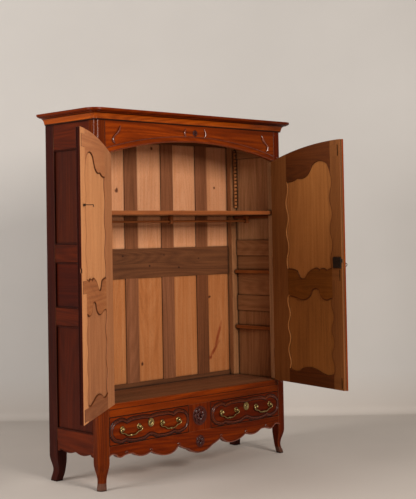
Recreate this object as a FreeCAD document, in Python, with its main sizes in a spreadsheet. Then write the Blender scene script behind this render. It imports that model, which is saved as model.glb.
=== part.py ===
"""A two-door armoire with an arched frieze, scalloped apron, cabriole feet and two drawers.

All lengths are in millimetres and all angles in degrees. X runs to the right along the front,
Y runs from the front to the back and Z is up. The carcase is drawn about its own front plane:
x = 0 at its middle, y = 0 at the front face of its posts and z = 0 on the floor. A door is drawn
about its hinge axis, as it stands when shut. Each sub-part's Placement then carries it into the
armoire's frame, whose origin lies on the floor below the middle of the armoire with its doors
standing open.
"""
import FreeCAD, Part
import math
import os
import re

V = FreeCAD.Vector
doc = FreeCAD.newDocument("armoire")

# ------------------------------------------------------------------ driving dimensions
SIZES = [
    ("total_height", 2200, "floor to the top of the cornice"),
    ("body_width", 1571, "over the posts"),
    ("body_depth", 490, "front of the posts to their back"),
    ("frame_shift_right", 208, "from the origin to the middle of the carcase"),
    ("frame_shift_back", 111, "from the origin to the front plane of the carcase"),
    ("cornice_tall", 64, "height of the cornice"),
    ("cornice_reach", 65, "cornice beyond the posts"),
    ("cornice_inside", 30, "cornice behind the post faces"),
    ("cornice_corner", 12, "radius of the cornice at its foot"),
    ("post_face", 69, "front post, seen from the front"),
    ("post_side", 62, "front post, seen from the side"),
    ("post_rounding", 28, "outer corner of the front posts"),
    ("back_post_face", 70, "back post, seen from the back"),
    ("back_post_side", 80, "back post, seen from the side"),
    ("knee_height", 165, "where the feet begin to curve"),
    ("frame_board", 26, "thickness of the front rails"),
    ("tenon_reach", 40, "tenons of the front rails"),
    ("tenon_thick", 10, "thickness of those tenons"),
    ("joint_gap", 0.2, "room left around a tenon"),
    ("frieze_tall", 199, "frieze at the posts"),
    ("arch_rise", 97, "rise of the arch at the middle"),
    ("sill_height", 490, "top of the lower front rail"),
    ("sill_moulding", 31, "height of the moulded edge on that rail"),
    ("sill_recess", 3, "depth of that edge"),
    ("drawer_top", 417, "top of the drawer openings"),
    ("drawer_base", 250, "bottom of the drawer openings"),
    ("stile_half", 92, "half the width of the centre stile"),
    ("apron_drop", 137, "drawer openings down to the lowest lobe"),
    ("side_board", 22, "thickness of the side rails"),
    ("side_set", 2, "side rails behind the post faces"),
    ("side_panel", 8, "thickness of the side panels"),
    ("groove", 8, "depth of the panel grooves"),
    ("side_top_wide", 156, "width of the side top rail"),
    ("side_upper_low", 1310, "upper middle side rail"),
    ("side_lower_low", 933, "lower middle side rail"),
    ("side_middle_wide", 105, "width of both middle side rails"),
    ("side_base_top", 320, "top of the scalloped side rail"),
    ("side_base_low", 190, "its lower edge"),
    ("back_face", 446, "front of the back frame"),
    ("back_board", 20, "thickness of the back frame"),
    ("back_panel", 8, "thickness of the back panels"),
    ("back_ends", 21, "body width beyond five spacings of the back panels"),
    ("muntin_wide", 105, "width of the back muntins"),
    ("back_top_wide", 76, "width of the back top rail"),
    ("back_middle_top", 1375, "top of the pair of middle rails"),
    ("back_middle_wide", 94, "width of each middle rail"),
    ("back_base_top", 520, "top of the back bottom rail"),
    ("back_base_low", 240, "its lower edge"),
    ("floor_thick", 18, "floor boards"),
    ("board_seam", 0.5, "seam between boards"),
    ("roof_thick", 14, "top boards"),
    ("shelf_drop", 526, "cornice down to the upper face of the shelf"),
    ("shelf_thick", 24, "shelf boards"),
    ("shelf_front", 25, "front edge of the shelf"),
    ("cleat_wide", 24, "cleats under the boards"),
    ("cleat_tall", 22, "height of the cleats"),
    ("cleat_upper", 1211, "top of the upper spare cleats"),
    ("cleat_lower", 832, "top of the lower spare cleats"),
    ("rack_rise", 31, "toothed racks above the shelf"),
    ("rack_long", 393, "length of the toothed racks"),
    ("rack_wide", 22, "racks across"),
    ("rack_deep", 14, "racks from back to front"),
    ("rack_tooth", 24.5625, "pitch of the teeth"),
    ("rod_radius", 7, "hanging rod"),
    ("rod_drop", 63, "shelf down to the middle of the hanging rod"),
    ("rod_back", 240, "hanging rod behind the front"),
    ("rod_room", 85.5, "outer faces of the posts to the ends of the rod"),
    ("rod_bracket", 24, "width of a rod bracket"),
    ("runner_wide", 26, "drawer runners"),
    ("runner_tall", 20, "drawer runners"),
    ("hinge_inset", 1.5, "hinge axis inside the opening"),
    ("hinge_out", 6, "hinge axis in front of the posts"),
    ("hinge_radius", 5.5, "hinge barrels"),
    ("hinge_pin", 3, "radius of the hinge pins"),
    ("hinge_play", 0.06, "between pin and barrel"),
    ("hinge_half", 60, "height of one half of a hinge"),
    ("hinge_tip", 16, "height of a hinge finial"),
    ("hinge_leaf", 1.3, "thickness of a hinge leaf"),
    ("hinge_low", 640, "height of the lowest hinge"),
    ("hinge_top", 97, "highest hinge below the foot of the arch"),
    ("left_open", 141.7, "left door as it stands"),
    ("right_open", 79.4, "right door as it stands"),
    ("door_thick", 24, "door frames"),
    ("door_gap", 3, "round the doors"),
    ("hinge_stile", 165, "width of the hinge stiles"),
    ("lock_stile", 99, "hinge axis to free edge, less the lock stile"),
    ("lap_gap", 2, "between the rebated meeting edges"),
    ("lap_reach", 9.5, "how far the meeting edges lap"),
    ("door_wave", 11, "depth of the waves along the door stiles"),
    ("panel_tongue", 6, "door panels in their grooves"),
    ("panel_field", 16, "door panels in the middle"),
    ("panel_sunk", 5, "door panels behind the inner faces of their frames"),
    ("case_wide", 74, "door lock case"),
    ("case_tall", 66, "door lock case"),
    ("case_deep", 14, "door lock case"),
    ("case_base", 1241, "bottom of the door lock case"),
    ("bolt_tall", 21.6, "door lock bolt"),
    ("bolt_thick", 5.4, "door lock bolt"),
    ("bolt_throw", 12, "travel of the door lock bolt"),
    ("key_radius", 3, "key shank"),
    ("key_bow", 9, "middle radius of the key's ring"),
    ("hook_rise", 16, "pivot of the shelf hook above the shelf"),
    ("hook_reach", 46, "pivot to the tip of the hook"),
    ("hook_radius", 2, "hook and staple wire"),
    ("drawer_gap", 2.5, "round the drawer fronts"),
    ("drawer_front", 24, "thickness of the drawer fronts"),
    ("drawer_long", 430, "front face to the back of a drawer"),
    ("drawer_board", 12, "drawer sides and backs"),
    ("field_raise", 5, "raised field of a drawer front"),
    ("handle_spread", 155, "drawer middle to each handle"),
    ("handle_half", 64, "half the spacing of the handle posts"),
    ("handle_height", 340, "pivots of the bails"),
    ("handle_out", 15, "pivots of the bails before the front"),
    ("bail_radius", 2.8, "bail wire"),
    ("bail_drop", 40, "depth of a bail"),
    ("bail_play", 0.08, "between bail and post"),
    ("plate_radius", 23, "drawer escutcheons"),
    ("drawer_bolt_tall", 19, "drawer lock bolts"),
    ("drawer_bolt_throw", 10, "travel of the drawer bolts"),
]

sheet = doc.addObject("Spreadsheet::Sheet", "dims")
for row, (name, value, note) in enumerate(SIZES, start=1):
    sheet.set(f"A{row}", name)
    sheet.set(f"B{row}", str(value))
    sheet.set(f"C{row}", note)
    sheet.setAlias(f"B{row}", name)
doc.recompute()

# Derived places, as expressions of the cells above. The first ones go by name in other expressions.
PLACES = {
    "cornice_base": "(total_height - cornice_tall)",
    "arch_spring": "(cornice_base - frieze_tall)",
    "side_top_low": "(cornice_base - side_top_wide)",
    "back_top_low": "(cornice_base - back_top_wide)",
    "back_pitch": "((body_width - back_ends) / 5)",
    "shelf_top": "(cornice_base - shelf_drop)",
    "rack_base": "(shelf_top + rack_rise)",
    "rod_height": "(shelf_top - rod_drop)",
    "rod_half": "(body_width / 2 - rod_room)",
    "hinge_step": "((arch_spring - hinge_top - hinge_low) / 2)",
    "hook_height": "(shelf_top + hook_rise)",
}
SIDE = "body_width / 2"
HALF = "(body_width / 2 - post_face)"
BACK_HALF = "(body_width / 2 - back_post_face)"
BACK_POST = "(body_depth - back_post_side)"
SIDE_IN = "(body_width / 2 - side_set - side_board)"
AXIS = "(body_width / 2 - post_face - hinge_inset)"
TENON_NEAR = "(frame_board - tenon_thick) / 2"
TENON_FAR = "(frame_board + tenon_thick) / 2"
BOLT_BASE = "(case_base + case_tall / 2)"
KEY_HEIGHT = "(case_base + 17)"
LEAF_NEAR = "hinge_out"
LEAF_FAR = "(hinge_out + door_thick)"


# ------------------------------------------------------------------ building blocks
def full(text):
    """The text of an expression, with derived places spelt out and every size named in full."""
    def spelt(word):
        name = word.group()
        return full(PLACES[name]) if name in PLACES else f"dims.{name}"
    return re.sub(r"[a-z_]{3,}", spelt, str(text))


def bind(target, name, text):
    """Tie a property to the sheet."""
    target.setExpression(name, full(text))


def number(text):
    """The present value of an expression."""
    return float(sheet.evalExpression(full(text)))


def box(x_low, x_high, y_low, y_high, z_low, z_high, side=1):
    """A block between six planes; side -1 mirrors it to the left."""
    block = doc.addObject("Part::Box", "block")
    if side < 0:
        x_low, x_high = f"-({x_high})", f"-({x_low})"
    spans = (("Length", "x", x_low, x_high), ("Width", "y", y_low, y_high), ("Height", "z", z_low, z_high))
    for length, axis, low, high in spans:
        bind(block, length, f"({high}) - ({low})")
        bind(block, f".Placement.Base.{axis}", low)
    return block


TURNS = {
    "x": FreeCAD.Rotation(V(0, 1, 0), 90),
    "y": FreeCAD.Rotation(V(1, 0, 0), -90),
    "z": FreeCAD.Rotation(),
}


def place(thing, x, y, z):
    """Tie the position of a primitive or a body to the sheet."""
    for axis, text in (("x", x), ("y", y), ("z", z)):
        bind(thing, f".Placement.Base.{axis}", text)
    return thing


def rod(along, x, y, z, radius, length):
    """A cylinder that starts at a point and runs along an axis."""
    bar = doc.addObject("Part::Cylinder", "bar")
    bind(bar, "Radius", radius)
    bind(bar, "Height", length)
    bar.Placement = FreeCAD.Placement(V(), TURNS[along])
    return place(bar, x, y, z)


def ball(along, x, y, z, radius):
    """A sphere whose poles lie along an axis."""
    sphere = doc.addObject("Part::Sphere", "ball")
    bind(sphere, "Radius", radius)
    sphere.Placement = FreeCAD.Placement(V(), TURNS[along])
    return place(sphere, x, y, z)


def ring(along, x, y, z, middle, wire):
    """A torus about an axis."""
    hoop = doc.addObject("Part::Torus", "hoop")
    bind(hoop, "Radius1", middle)
    bind(hoop, "Radius2", wire)
    hoop.Placement = FreeCAD.Placement(V(), TURNS[along])
    return place(hoop, x, y, z)


def fuse(*shapes):
    """One solid from several that meet or overlap."""
    joined = doc.addObject("Part::MultiFuse", "joined")
    joined.Shapes = list(shapes)
    return joined


def group(*shapes):
    """Separate solids kept together."""
    bundle = doc.addObject("Part::Compound", "bundle")
    bundle.Links = list(shapes)
    return bundle


def cut(base, *tools):
    """A shape less its tools."""
    rest = doc.addObject("Part::Cut", "rest")
    rest.Base = base
    rest.Tool = tools[0] if len(tools) == 1 else group(*tools)
    return rest


def common(first, second):
    """What two shapes share."""
    shared = doc.addObject("Part::Common", "shared")
    shared.Base = first
    shared.Tool = second
    return shared


class By:
    """A point that an arc passes through between its neighbours in an outline."""

    def __init__(self, across, up):
        self.across = across
        self.up = up


def edges_of(outline):
    """Lines and arcs through a closed outline of (across, up) corners and By points."""
    edges = []
    corners = list(outline) + [outline[0]]
    here = V(*corners[0], 0)
    through = None
    for item in corners[1:]:
        if isinstance(item, By):
            through = V(item.across, item.up, 0)
            continue
        there = V(*item, 0)
        edges.append(Part.Arc(here, through, there) if through else Part.LineSegment(here, there))
        here = there
        through = None
    return edges


def flipped(outline, side):
    """An outline, mirrored to the left for side -1."""
    turned = []
    for item in outline:
        if isinstance(item, By):
            turned.append(By(side * item.across, item.up))
        else:
            turned.append((side * item[0], item[1]))
    return turned


def sketch_on(body, role, outline):
    """A sketch of an outline on one of a body's own planes."""
    sketch = body.newObject("Sketcher::SketchObject", "outline")
    plane = [item for item in body.Origin.OriginFeatures if item.Role == role][0]
    sketch.AttachmentSupport = [(plane, "")]
    sketch.MapMode = "FlatFace"
    sketch.addGeometry(edges_of(outline), False)
    return sketch


def board(plane, outline, near, far):
    """An outline padded from one level to another: XY goes up, XZ goes back, YZ goes right."""
    body = doc.addObject("PartDesign::Body", "board")
    pad = body.newObject("PartDesign::Pad", "pad")
    pad.Profile = sketch_on(body, plane + "_Plane", outline)
    bind(pad, "Length", f"({far}) - ({near})")
    axis = {"XY": "z", "XZ": "y", "YZ": "x"}[plane]
    bind(body, f".Placement.Base.{axis}", far if plane == "XZ" else near)
    return body


def turned(outline, x, y, z):
    """A turned piece: an outline of (radius, height) points spun about an upright axis."""
    body = doc.addObject("PartDesign::Body", "turned")
    spin = body.newObject("PartDesign::Revolution", "spin")
    sketch = sketch_on(body, "XZ_Plane", outline)
    spin.Profile = sketch
    spin.ReferenceAxis = (sketch, ["V_Axis"])
    spin.Angle = 360
    return place(body, x, y, z)


def made(shape):
    """A feature for a form that only Part's own functions can make."""
    feature = doc.addObject("Part::Feature", "form")
    feature.Shape = shape
    return feature


nodes = []
FRAMES = {
    "carcase": ("frame_shift_right", "frame_shift_back", None, V(0, 0, 1)),
    "left_door": (f"frame_shift_right - {AXIS}", "frame_shift_back - hinge_out", "left_open", V(0, 0, -1)),
    "right_door": (f"frame_shift_right + {AXIS}", "frame_shift_back - hinge_out", "right_open", V(0, 0, 1)),
}


def node(label, frame, shape):
    """Name a sub-part and stand it in its frame."""
    x, y, angle, axis = FRAMES[frame]
    if shape.TypeId in ("Part::Box", "PartDesign::Body", "Part::Feature", "Part::Cylinder"):
        shape = group(shape)
    shape.Label = label
    shape.Placement = FreeCAD.Placement(V(), FreeCAD.Rotation(axis, 1 if angle else 0))
    if angle:
        bind(shape, ".Placement.Rotation.Angle", angle)
    bind(shape, ".Placement.Base.x", x)
    bind(shape, ".Placement.Base.y", y)
    nodes.append(shape)
    return shape


# ------------------------------------------------------------------ joints between boards
def tenon_spans(low, high):
    """The heights of a tenon between two edges of its rail."""
    return f"({low}) + 12", f"({high}) - 12"


def front_tenon(low, high, side, room="0"):
    """The tenon of a front rail, or its mortise when room is left round it."""
    bottom, top = tenon_spans(low, high)
    reach = f"{HALF} + tenon_reach + ({room})"
    return box(f"{HALF} - 2", reach, f"{TENON_NEAR} - ({room})", f"{TENON_FAR} + ({room})",
               f"{bottom} - ({room})", f"{top} + ({room})", side)


FRONT_TENONS = (
    ("arch_spring + 20", "cornice_base - 10"),
    ("drawer_top", "sill_height"),
    ("drawer_base - 55", "drawer_base"),
)
STILE_TENON = "(stile_half - 30)"
STUB = 18


def stile_tenon(low, high, room="0"):
    """A stub tenon of the centre stile, or its mortise."""
    return box(f"-{STILE_TENON} - ({room})", f"{STILE_TENON} + ({room})", f"{TENON_NEAR} - ({room})",
               f"{TENON_FAR} + ({room})", f"{low} - ({room})", f"{high} + ({room})")


SIDE_PANELS = (
    ("side_base_top", "side_lower_low"),
    ("side_lower_low + side_middle_wide", "side_upper_low"),
    ("side_upper_low + side_middle_wide", "side_top_low"),
)


def side_panel(low, high, side, room="0"):
    """A side panel with its edges in the grooves, or the grooves themselves."""
    middle = f"({SIDE_IN} + side_board / 2)"
    return box(f"{middle} - side_panel / 2 - ({room})", f"{middle} + side_panel / 2 + ({room})",
               "post_side - groove", f"{BACK_POST} + groove", f"{low} - groove", f"{high} + groove", side)


def back_panel(column, low, high, room="0"):
    """A back panel with its edges in the grooves, or the grooves themselves."""
    left = f"{column} * back_pitch - (back_pitch - muntin_wide) / 2 - groove"
    right = f"{column} * back_pitch + (back_pitch - muntin_wide) / 2 + groove"
    if abs(column) == 2:
        right = f"{BACK_HALF} + groove - 2"
        left = f"2 * back_pitch - (back_pitch - muntin_wide) / 2 - groove"
    side = -1 if column == -2 else 1
    middle = "(back_face + back_board / 2)"
    return box(left, right, f"{middle} - back_panel / 2 - ({room})", f"{middle} + back_panel / 2 + ({room})",
               f"{low} - groove", f"{high} + groove", side)


BACK_ROWS = (
    ("back_middle_top", "back_top_low"),
    ("back_base_top", "back_middle_top - 2 * back_middle_wide"),
)


def back_grooves():
    """Every groove of the back frame."""
    return [back_panel(column, low, high, "0.1") for low, high in BACK_ROWS for column in range(-2, 3)]


# ------------------------------------------------------------------ posts and feet
def front_section(inner, outer):
    """Corners of a front post's section, each side drawn in by so much."""
    left = number(HALF) + inner
    right = number(SIDE) - outer
    front = outer
    back = number("post_side") - inner
    radius = number("post_rounding")
    lean = radius * (1 - math.sqrt(0.5))
    return [(left, front), (right - radius, front), By(right - lean, front + lean),
            (right, front + radius), (right, back), (left, back)]


def back_section(inner, outer):
    """Corners of a back post's section, each side drawn in by so much."""
    left = number(BACK_HALF) + inner
    right = number(SIDE) - outer
    return [(left, number(BACK_POST) + inner), (right, number(BACK_POST) + inner),
            (right, number("body_depth") - outer), (left, number("body_depth") - outer)]


# Share of the knee height, then how far the inner and the outer corner are drawn in.
FRONT_FOOT = ((1, 0, 0), (0.9, 0.2, 0.6), (0.72, 2, 7), (0.42, 7.5, 19), (0.18, 13, 14), (0.06, 17, 8), (0, 18, 7))
BACK_FOOT = ((1, 0, 0), (0.9, 0.1, 0.4), (0.72, 1, 5), (0.42, 6, 15), (0.18, 13, 9), (0.06, 18, 5), (0, 19, 4))


def foot(section, form, side):
    """A curved foot lofted through sections of its post."""
    knee = number("knee_height")
    wires = []
    for share, inner, outer in form:
        outline = flipped(section(inner, outer), side)
        wire = Part.Wire([edge.toShape() for edge in edges_of(outline)])
        wire.translate(V(0, 0, share * knee))
        wires.append(wire)
    return made(Part.makeLoft(wires, True, False))


def make_posts():
    """Four posts, each of one piece with its foot."""
    for name, side in (("left", -1), ("right", 1)):
        shaft = board("XY", flipped(front_section(0, 0), side), "knee_height", "cornice_base")
        mortises = [front_tenon(low, high, side, "joint_gap") for low, high in FRONT_TENONS]
        grooves = [side_panel(low, high, side, "0.1") for low, high in SIDE_PANELS]
        whole = fuse(shaft, foot(front_section, FRONT_FOOT, side))
        node(f"front_{name}_post", "carcase", cut(whole, *mortises, *grooves))

        shaft = board("XY", flipped(back_section(0, 0), side), "knee_height", "cornice_base")
        grooves = [side_panel(low, high, side, "0.1") for low, high in SIDE_PANELS]
        column = 2 * side
        grooves += [back_panel(column, low, high, "0.1") for low, high in BACK_ROWS]
        whole = fuse(shaft, foot(back_section, BACK_FOOT, side))
        node(f"back_{name}_post", "carcase", cut(whole, *grooves))


# ------------------------------------------------------------------ front frame
def arch_radius():
    """Radius of the arch through both springings and the crown."""
    half = number(HALF)
    rise = number("arch_rise")
    return (half * half + rise * rise) / (2 * rise)


def arch_height(across, gap=0):
    """Height of the arch, less a gap, at a distance from the middle."""
    radius = arch_radius()
    centre = number("arch_spring + arch_rise") - radius
    return centre + math.sqrt((radius - gap) ** 2 - across * across)


# Half of the apron's lower edge from the middle to the post: across, then up from its lowest lobe.
APRON_EDGE = [(105, 33), By(142, 47), (180, 66), By(214, 38), (262, 26), By(300, 27), (335, 34),
              By(370, 46), (402, 63), By(462, 48), (540, 72), By(585, 74), (622, 64), By(642, 63),
              (662, 72), By(690, 87)]
# The half opening and the depth for which that edge was drawn.
APRON_SPAN = 716.5
APRON_DEPTH = 137


def apron_outline():
    """The apron: straight above, scalloped below."""
    half = number(HALF)
    top = number("drawer_base")
    lowest = top - number("apron_drop")
    wide = half / APRON_SPAN
    tall = (top - lowest) / APRON_DEPTH
    right = [By(item.across * wide, lowest + item.up * tall) if isinstance(item, By)
             else (item[0] * wide, lowest + item[1] * tall) for item in APRON_EDGE]
    right.append((half, lowest + 78 * tall))
    left = list(reversed(flipped(right, -1)))
    return left + [By(0, lowest)] + right + [(half, top), (-half, top)]


def make_front_frame():
    """The frieze, the lower rail, the centre stile and the apron."""
    half = number(HALF)
    spring = number("arch_spring")
    top = number("cornice_base")
    arch = [(-half, spring), By(0, arch_height(0)), (half, spring), (half, top), (-half, top)]
    tenons = [[front_tenon(low, high, side) for side in (-1, 1)] for low, high in FRONT_TENONS]
    node("frieze_rail", "carcase", fuse(board("XZ", arch, 0, "frame_board"), *tenons[0]))

    rail = box(f"-{HALF}", HALF, 0, "frame_board", "drawer_top", "sill_height")
    edge = box(f"-{HALF}", HALF, -1, "sill_recess", "sill_height - sill_moulding", "sill_height + 1")
    stub = stile_tenon("drawer_top - 1", f"drawer_top + {STUB}", "joint_gap")
    keeps = [drawer_strike(side) for side in (-1, 1)]
    node("lower_front_rail", "carcase", cut(fuse(rail, *tenons[1]), edge, stub, *keeps))

    stile = box("-stile_half", "stile_half", 0, "frame_board", "drawer_base", "drawer_top")
    stubs = [stile_tenon("drawer_top - 1", f"drawer_top + {STUB}"),
             stile_tenon(f"drawer_base - {STUB}", "drawer_base + 1")]
    node("centre_stile", "carcase", fuse(stile, *stubs))

    apron = fuse(board("XZ", apron_outline(), 0, "frame_board"), *tenons[2])
    stub = stile_tenon(f"drawer_base - {STUB}", "drawer_base + 1", "joint_gap")
    node("apron_rail", "carcase", cut(apron, stub))


# ------------------------------------------------------------------ sides
def side_base_outline():
    """The scalloped bottom rail of a side, as (back, up) points."""
    front = number("post_side")
    back = number(BACK_POST)
    low = number("side_base_low")
    top = number("side_base_top")
    middle = (front + back) / 2
    reach = (back - front) / 2
    near = 0.82 * reach
    return [(front, top), (front, low), By(middle - 0.91 * reach, low - 1), (middle - near, low + 14),
            By(middle - near / 2, low - 3), (middle, low + 11), By(middle + near / 2, low - 3),
            (middle + near, low + 14), By(middle + 0.91 * reach, low - 1), (back, low), (back, top)]


def make_sides():
    """Rails and panels of both sides."""
    for name, side in (("left", -1), ("right", 1)):
        outer = f"{SIDE_IN} + side_board"
        spans = (("side_top_low", "cornice_base"),
                 ("side_upper_low", "side_upper_low + side_middle_wide"),
                 ("side_lower_low", "side_lower_low + side_middle_wide"))
        rails = [box(SIDE_IN, outer, "post_side", BACK_POST, low, high, side) for low, high in spans]
        near, far = (SIDE_IN, outer) if side > 0 else (f"-({outer})", f"-{SIDE_IN}")
        rails.append(board("YZ", side_base_outline(), near, far))
        grooves = [side_panel(low, high, side, "0.1") for low, high in SIDE_PANELS]
        node(f"{name}_side_rails", "carcase", group(*[cut(rail, group(*grooves)) for rail in rails]))
        panels = [side_panel(low, high, side) for low, high in SIDE_PANELS]
        node(f"{name}_side_panels", "carcase", group(*panels))


# ------------------------------------------------------------------ back, floor, roof and cornice
def make_back():
    """The framed back: four rails, eight muntins and ten panels."""
    far = "back_face + back_board"
    spans = (("back_top_low", "cornice_base"),
             ("back_middle_top - back_middle_wide", "back_middle_top"),
             ("back_middle_top - 2 * back_middle_wide", "back_middle_top - back_middle_wide"),
             ("back_base_low", "back_base_top"))
    grooves = group(*back_grooves())
    rails = [cut(box(f"-{BACK_HALF}", BACK_HALF, "back_face", far, low, high), grooves) for low, high in spans]
    node("back_rails", "carcase", group(*rails))
    muntins = []
    for low, high in BACK_ROWS:
        for place_of in (-1.5, -0.5, 0.5, 1.5):
            middle = f"{place_of} * back_pitch"
            muntin = box(f"{middle} - muntin_wide / 2", f"{middle} + muntin_wide / 2", "back_face", far, low, high)
            muntins.append(cut(muntin, grooves))
    node("back_muntins", "carcase", group(*muntins))
    for name, (low, high) in zip(("upper", "lower"), BACK_ROWS):
        node(f"back_{name}_panels", "carcase", group(*[back_panel(column, low, high) for column in range(-2, 3)]))


def post_notches():
    """Blocks that notch a board round the four posts."""
    notches = []
    for side in (-1, 1):
        notches.append(box(f"{HALF} - 0.2", f"{SIDE} + 9", -9, "post_side + 0.2", 0, "total_height", side))
        notches.append(box(f"{BACK_HALF} - 0.2", f"{SIDE} + 9", f"{BACK_POST} - 0.2", "body_depth + 9", 0,
                           "total_height", side))
    return notches


def boards_across(front, back, low, high, count, half, notched=True):
    """Boards side by side from front to back, notched round the posts."""
    step = f"(({back}) - ({front})) / {count}"
    boards = []
    for index in range(count):
        near = f"({front}) + {index} * {step}"
        far = f"({front}) + {index + 1} * {step} - board_seam"
        plank = box(f"-({half})", half, near, far, low, high)
        boards.append(cut(plank, group(*post_notches())) if notched else plank)
    return boards


def make_boards():
    """Floor, shelf and roof boards with the cleats that carry them."""
    inside = f"{SIDE_IN} - 0.5"
    floor = boards_across("frame_board", "back_face", "sill_height - floor_thick", "sill_height", 3, inside)
    node("floor_boards", "carcase", group(*floor))
    shelf = boards_across("shelf_front", "back_face", "shelf_top - shelf_thick", "shelf_top", 2, inside)
    shelf[0] = cut(shelf[0], rod("z", HOOK_X, HOOK_Y, "shelf_top - shelf_thick - 1", 7, "shelf_thick + 2"))
    node("shelf_boards", "carcase", group(*shelf))
    roof_half = f"{SIDE} - cornice_inside - 1"
    roof = boards_across("cornice_inside + 1", "body_depth - 36", "cornice_base", "cornice_base + roof_thick", 3,
                         roof_half, False)
    node("top_boards", "carcase", group(*roof))
    tops = ("shelf_top - shelf_thick", "cleat_upper", "cleat_lower", "sill_height - floor_thick")
    cleats = [box(f"{SIDE_IN} - cleat_wide", f"{SIDE_IN} - 0.3", "post_side", BACK_POST, f"{top} - cleat_tall", top, side)
              for top in tops for side in (-1, 1)]
    node("side_cleats", "carcase", group(*cleats))


def cornice_profile():
    """Section of the cornice: distance out from the post faces, then height."""
    base = number("cornice_base")
    rise = number("total_height") - base
    reach = number("cornice_reach")
    inside = 2 - number("cornice_corner")
    top = base + rise
    return [(inside, base), (5, base), (5, base + 7), (9, base + 7), By(reach - 49, top - 35),
            (reach - 22, top - 22), (reach - 18, top - 22), (reach - 18, top - 18), By(reach - 8, top - 17),
            (reach - 4, top - 13), (reach, top - 13), (reach, top), (inside, top)]


def make_cornice():
    """The cornice moulding swept round the front and both sides, and its plain back rail."""
    half = number(SIDE)
    back = number("body_depth")
    corner = number("cornice_corner")
    lean = corner * (1 - math.sqrt(0.5))
    path = Part.Wire([edge.toShape() for edge in (
        Part.LineSegment(V(-half, back, 0), V(-half, corner, 0)),
        Part.Arc(V(-half, corner, 0), V(-half + lean, lean, 0), V(-half + corner, 0, 0)),
        Part.LineSegment(V(-half + corner, 0, 0), V(half - corner, 0, 0)),
        Part.Arc(V(half - corner, 0, 0), V(half - lean, lean, 0), V(half, corner, 0)),
        Part.LineSegment(V(half, corner, 0), V(half, back, 0)))])
    outline = flipped(cornice_profile(), -1)
    section = Part.Wire([edge.toShape() for edge in edges_of(outline)])
    section.rotate(V(), V(1, 0, 0), 90)
    section.translate(V(-half, back, 0))
    moulding = made(path.makePipeShell([section], True, False))
    wide = f"{SIDE} + cornice_reach + 9"
    split = f"{SIDE} - cornice_inside"
    lap = "cornice_corner - 3"
    front = common(moulding, box(f"-({wide})", wide, "-cornice_reach - 9", "cornice_inside", 0, "total_height + 9"))
    backing = box(f"-({SIDE} - {lap})", f"{SIDE} - {lap}", lap, "cornice_inside", "cornice_base", "total_height")
    pieces = [fuse(front, backing)]
    for side in (-1, 1):
        end = common(moulding, box(0, wide, "cornice_inside", "body_depth + 9", 0, "total_height + 9", side))
        backing = box(split, f"{SIDE} - {lap}", "cornice_inside", "body_depth", "cornice_base", "total_height", side)
        pieces.append(fuse(end, backing))
    pieces.append(box(f"-({split})", split, "body_depth - 35", "body_depth", "cornice_base", "total_height - 8"))
    node("cornice", "carcase", group(*pieces))


# ------------------------------------------------------------------ fittings inside
def rack_outline(side):
    """A toothed rack as (back, up) points; the teeth look forwards for side -1."""
    face = number(BACK_POST) if side < 0 else number("post_side")
    deep = number("rack_deep")
    pitch = number("rack_tooth")
    base = number("rack_base")
    count = int(round(number("rack_long") / pitch))
    points = [(face, base), (face + side * deep, base)]
    for index in range(count):
        low = base + index * pitch
        points += [(face + side * deep, low + 0.55 * pitch), (face + side * (deep - 8), low + 0.6 * pitch),
                   (face + side * deep, low + pitch)]
    points.append((face, base + count * pitch))
    return points


def make_inside():
    """Toothed racks, hanging rod, rod brackets, drawer runners and the plate for the hook."""
    racks = []
    for side in (-1, 1):
        near, far = f"{SIDE_IN} - rack_wide", f"{SIDE_IN} - 0.3"
        if side < 0:
            near, far = f"-({far})", f"-({near})"
        racks += [board("YZ", rack_outline(way), near, far) for way in (-1, 1)]
    node("toothed_racks", "carcase", group(*racks))
    node("hanging_rod", "carcase", rod("x", "-rod_half", "rod_back", "rod_height", "rod_radius", "2 * rod_half"))
    brackets = []
    for middle in ("0", "rod_half - rod_bracket / 2", "-rod_half + rod_bracket / 2"):
        low = f"{middle} - rod_bracket / 2"
        block = box(low, f"{middle} + rod_bracket / 2", "rod_back - 12", "rod_back + 12", "rod_height - 15",
                    "shelf_top - shelf_thick")
        bore = rod("x", f"{low} - 1", "rod_back", "rod_height", "rod_radius + 0.3", "rod_bracket + 2")
        brackets.append(cut(block, bore))
    node("rod_brackets", "carcase", group(*brackets))
    top = "drawer_base + 1.7"
    low = f"{top} - runner_tall"
    runners = [box(f"{BACK_HALF} - runner_wide", BACK_HALF, "frame_board", "back_face", low, top, side)
               for side in (-1, 1)]
    tie = box("-stile_half - runner_wide", "stile_half + runner_wide", "frame_board", "back_face", low, top)
    guide = box("-stile_half + 1", "stile_half - 1", "frame_board", "back_face", f"{top} - 1", "drawer_base + 40")
    node("drawer_runners", "carcase", group(*runners, fuse(tie, guide)))
    plate = box(f"{HOOK_X} - 15", f"{HOOK_X} + 15", f"{HOOK_Y} - 15", f"{HOOK_Y} + 15", "shelf_top", "shelf_top + 2")
    node("hook_plate", "carcase", cut(plate, rod("z", HOOK_X, HOOK_Y, "shelf_top - 1", 6.5, 4)))


# ------------------------------------------------------------------ hinges
def finial(way):
    """Turned tip of a hinge, pointing up for way 1 and down for way -1."""
    radius = number("hinge_radius")
    tip = number("hinge_tip")
    return [(0, 0), (radius, 0), (radius + 0.5, way * 1.5), (radius, way * 3), (radius * 0.55, way * 4.5),
            By(radius * 0.95, way * 9), (radius * 0.3, way * tip), (0, way * tip)]


def hinge_heights():
    """The meeting plane of each hinge."""
    return [f"hinge_low + {index} * hinge_step" for index in range(3)]


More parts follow.
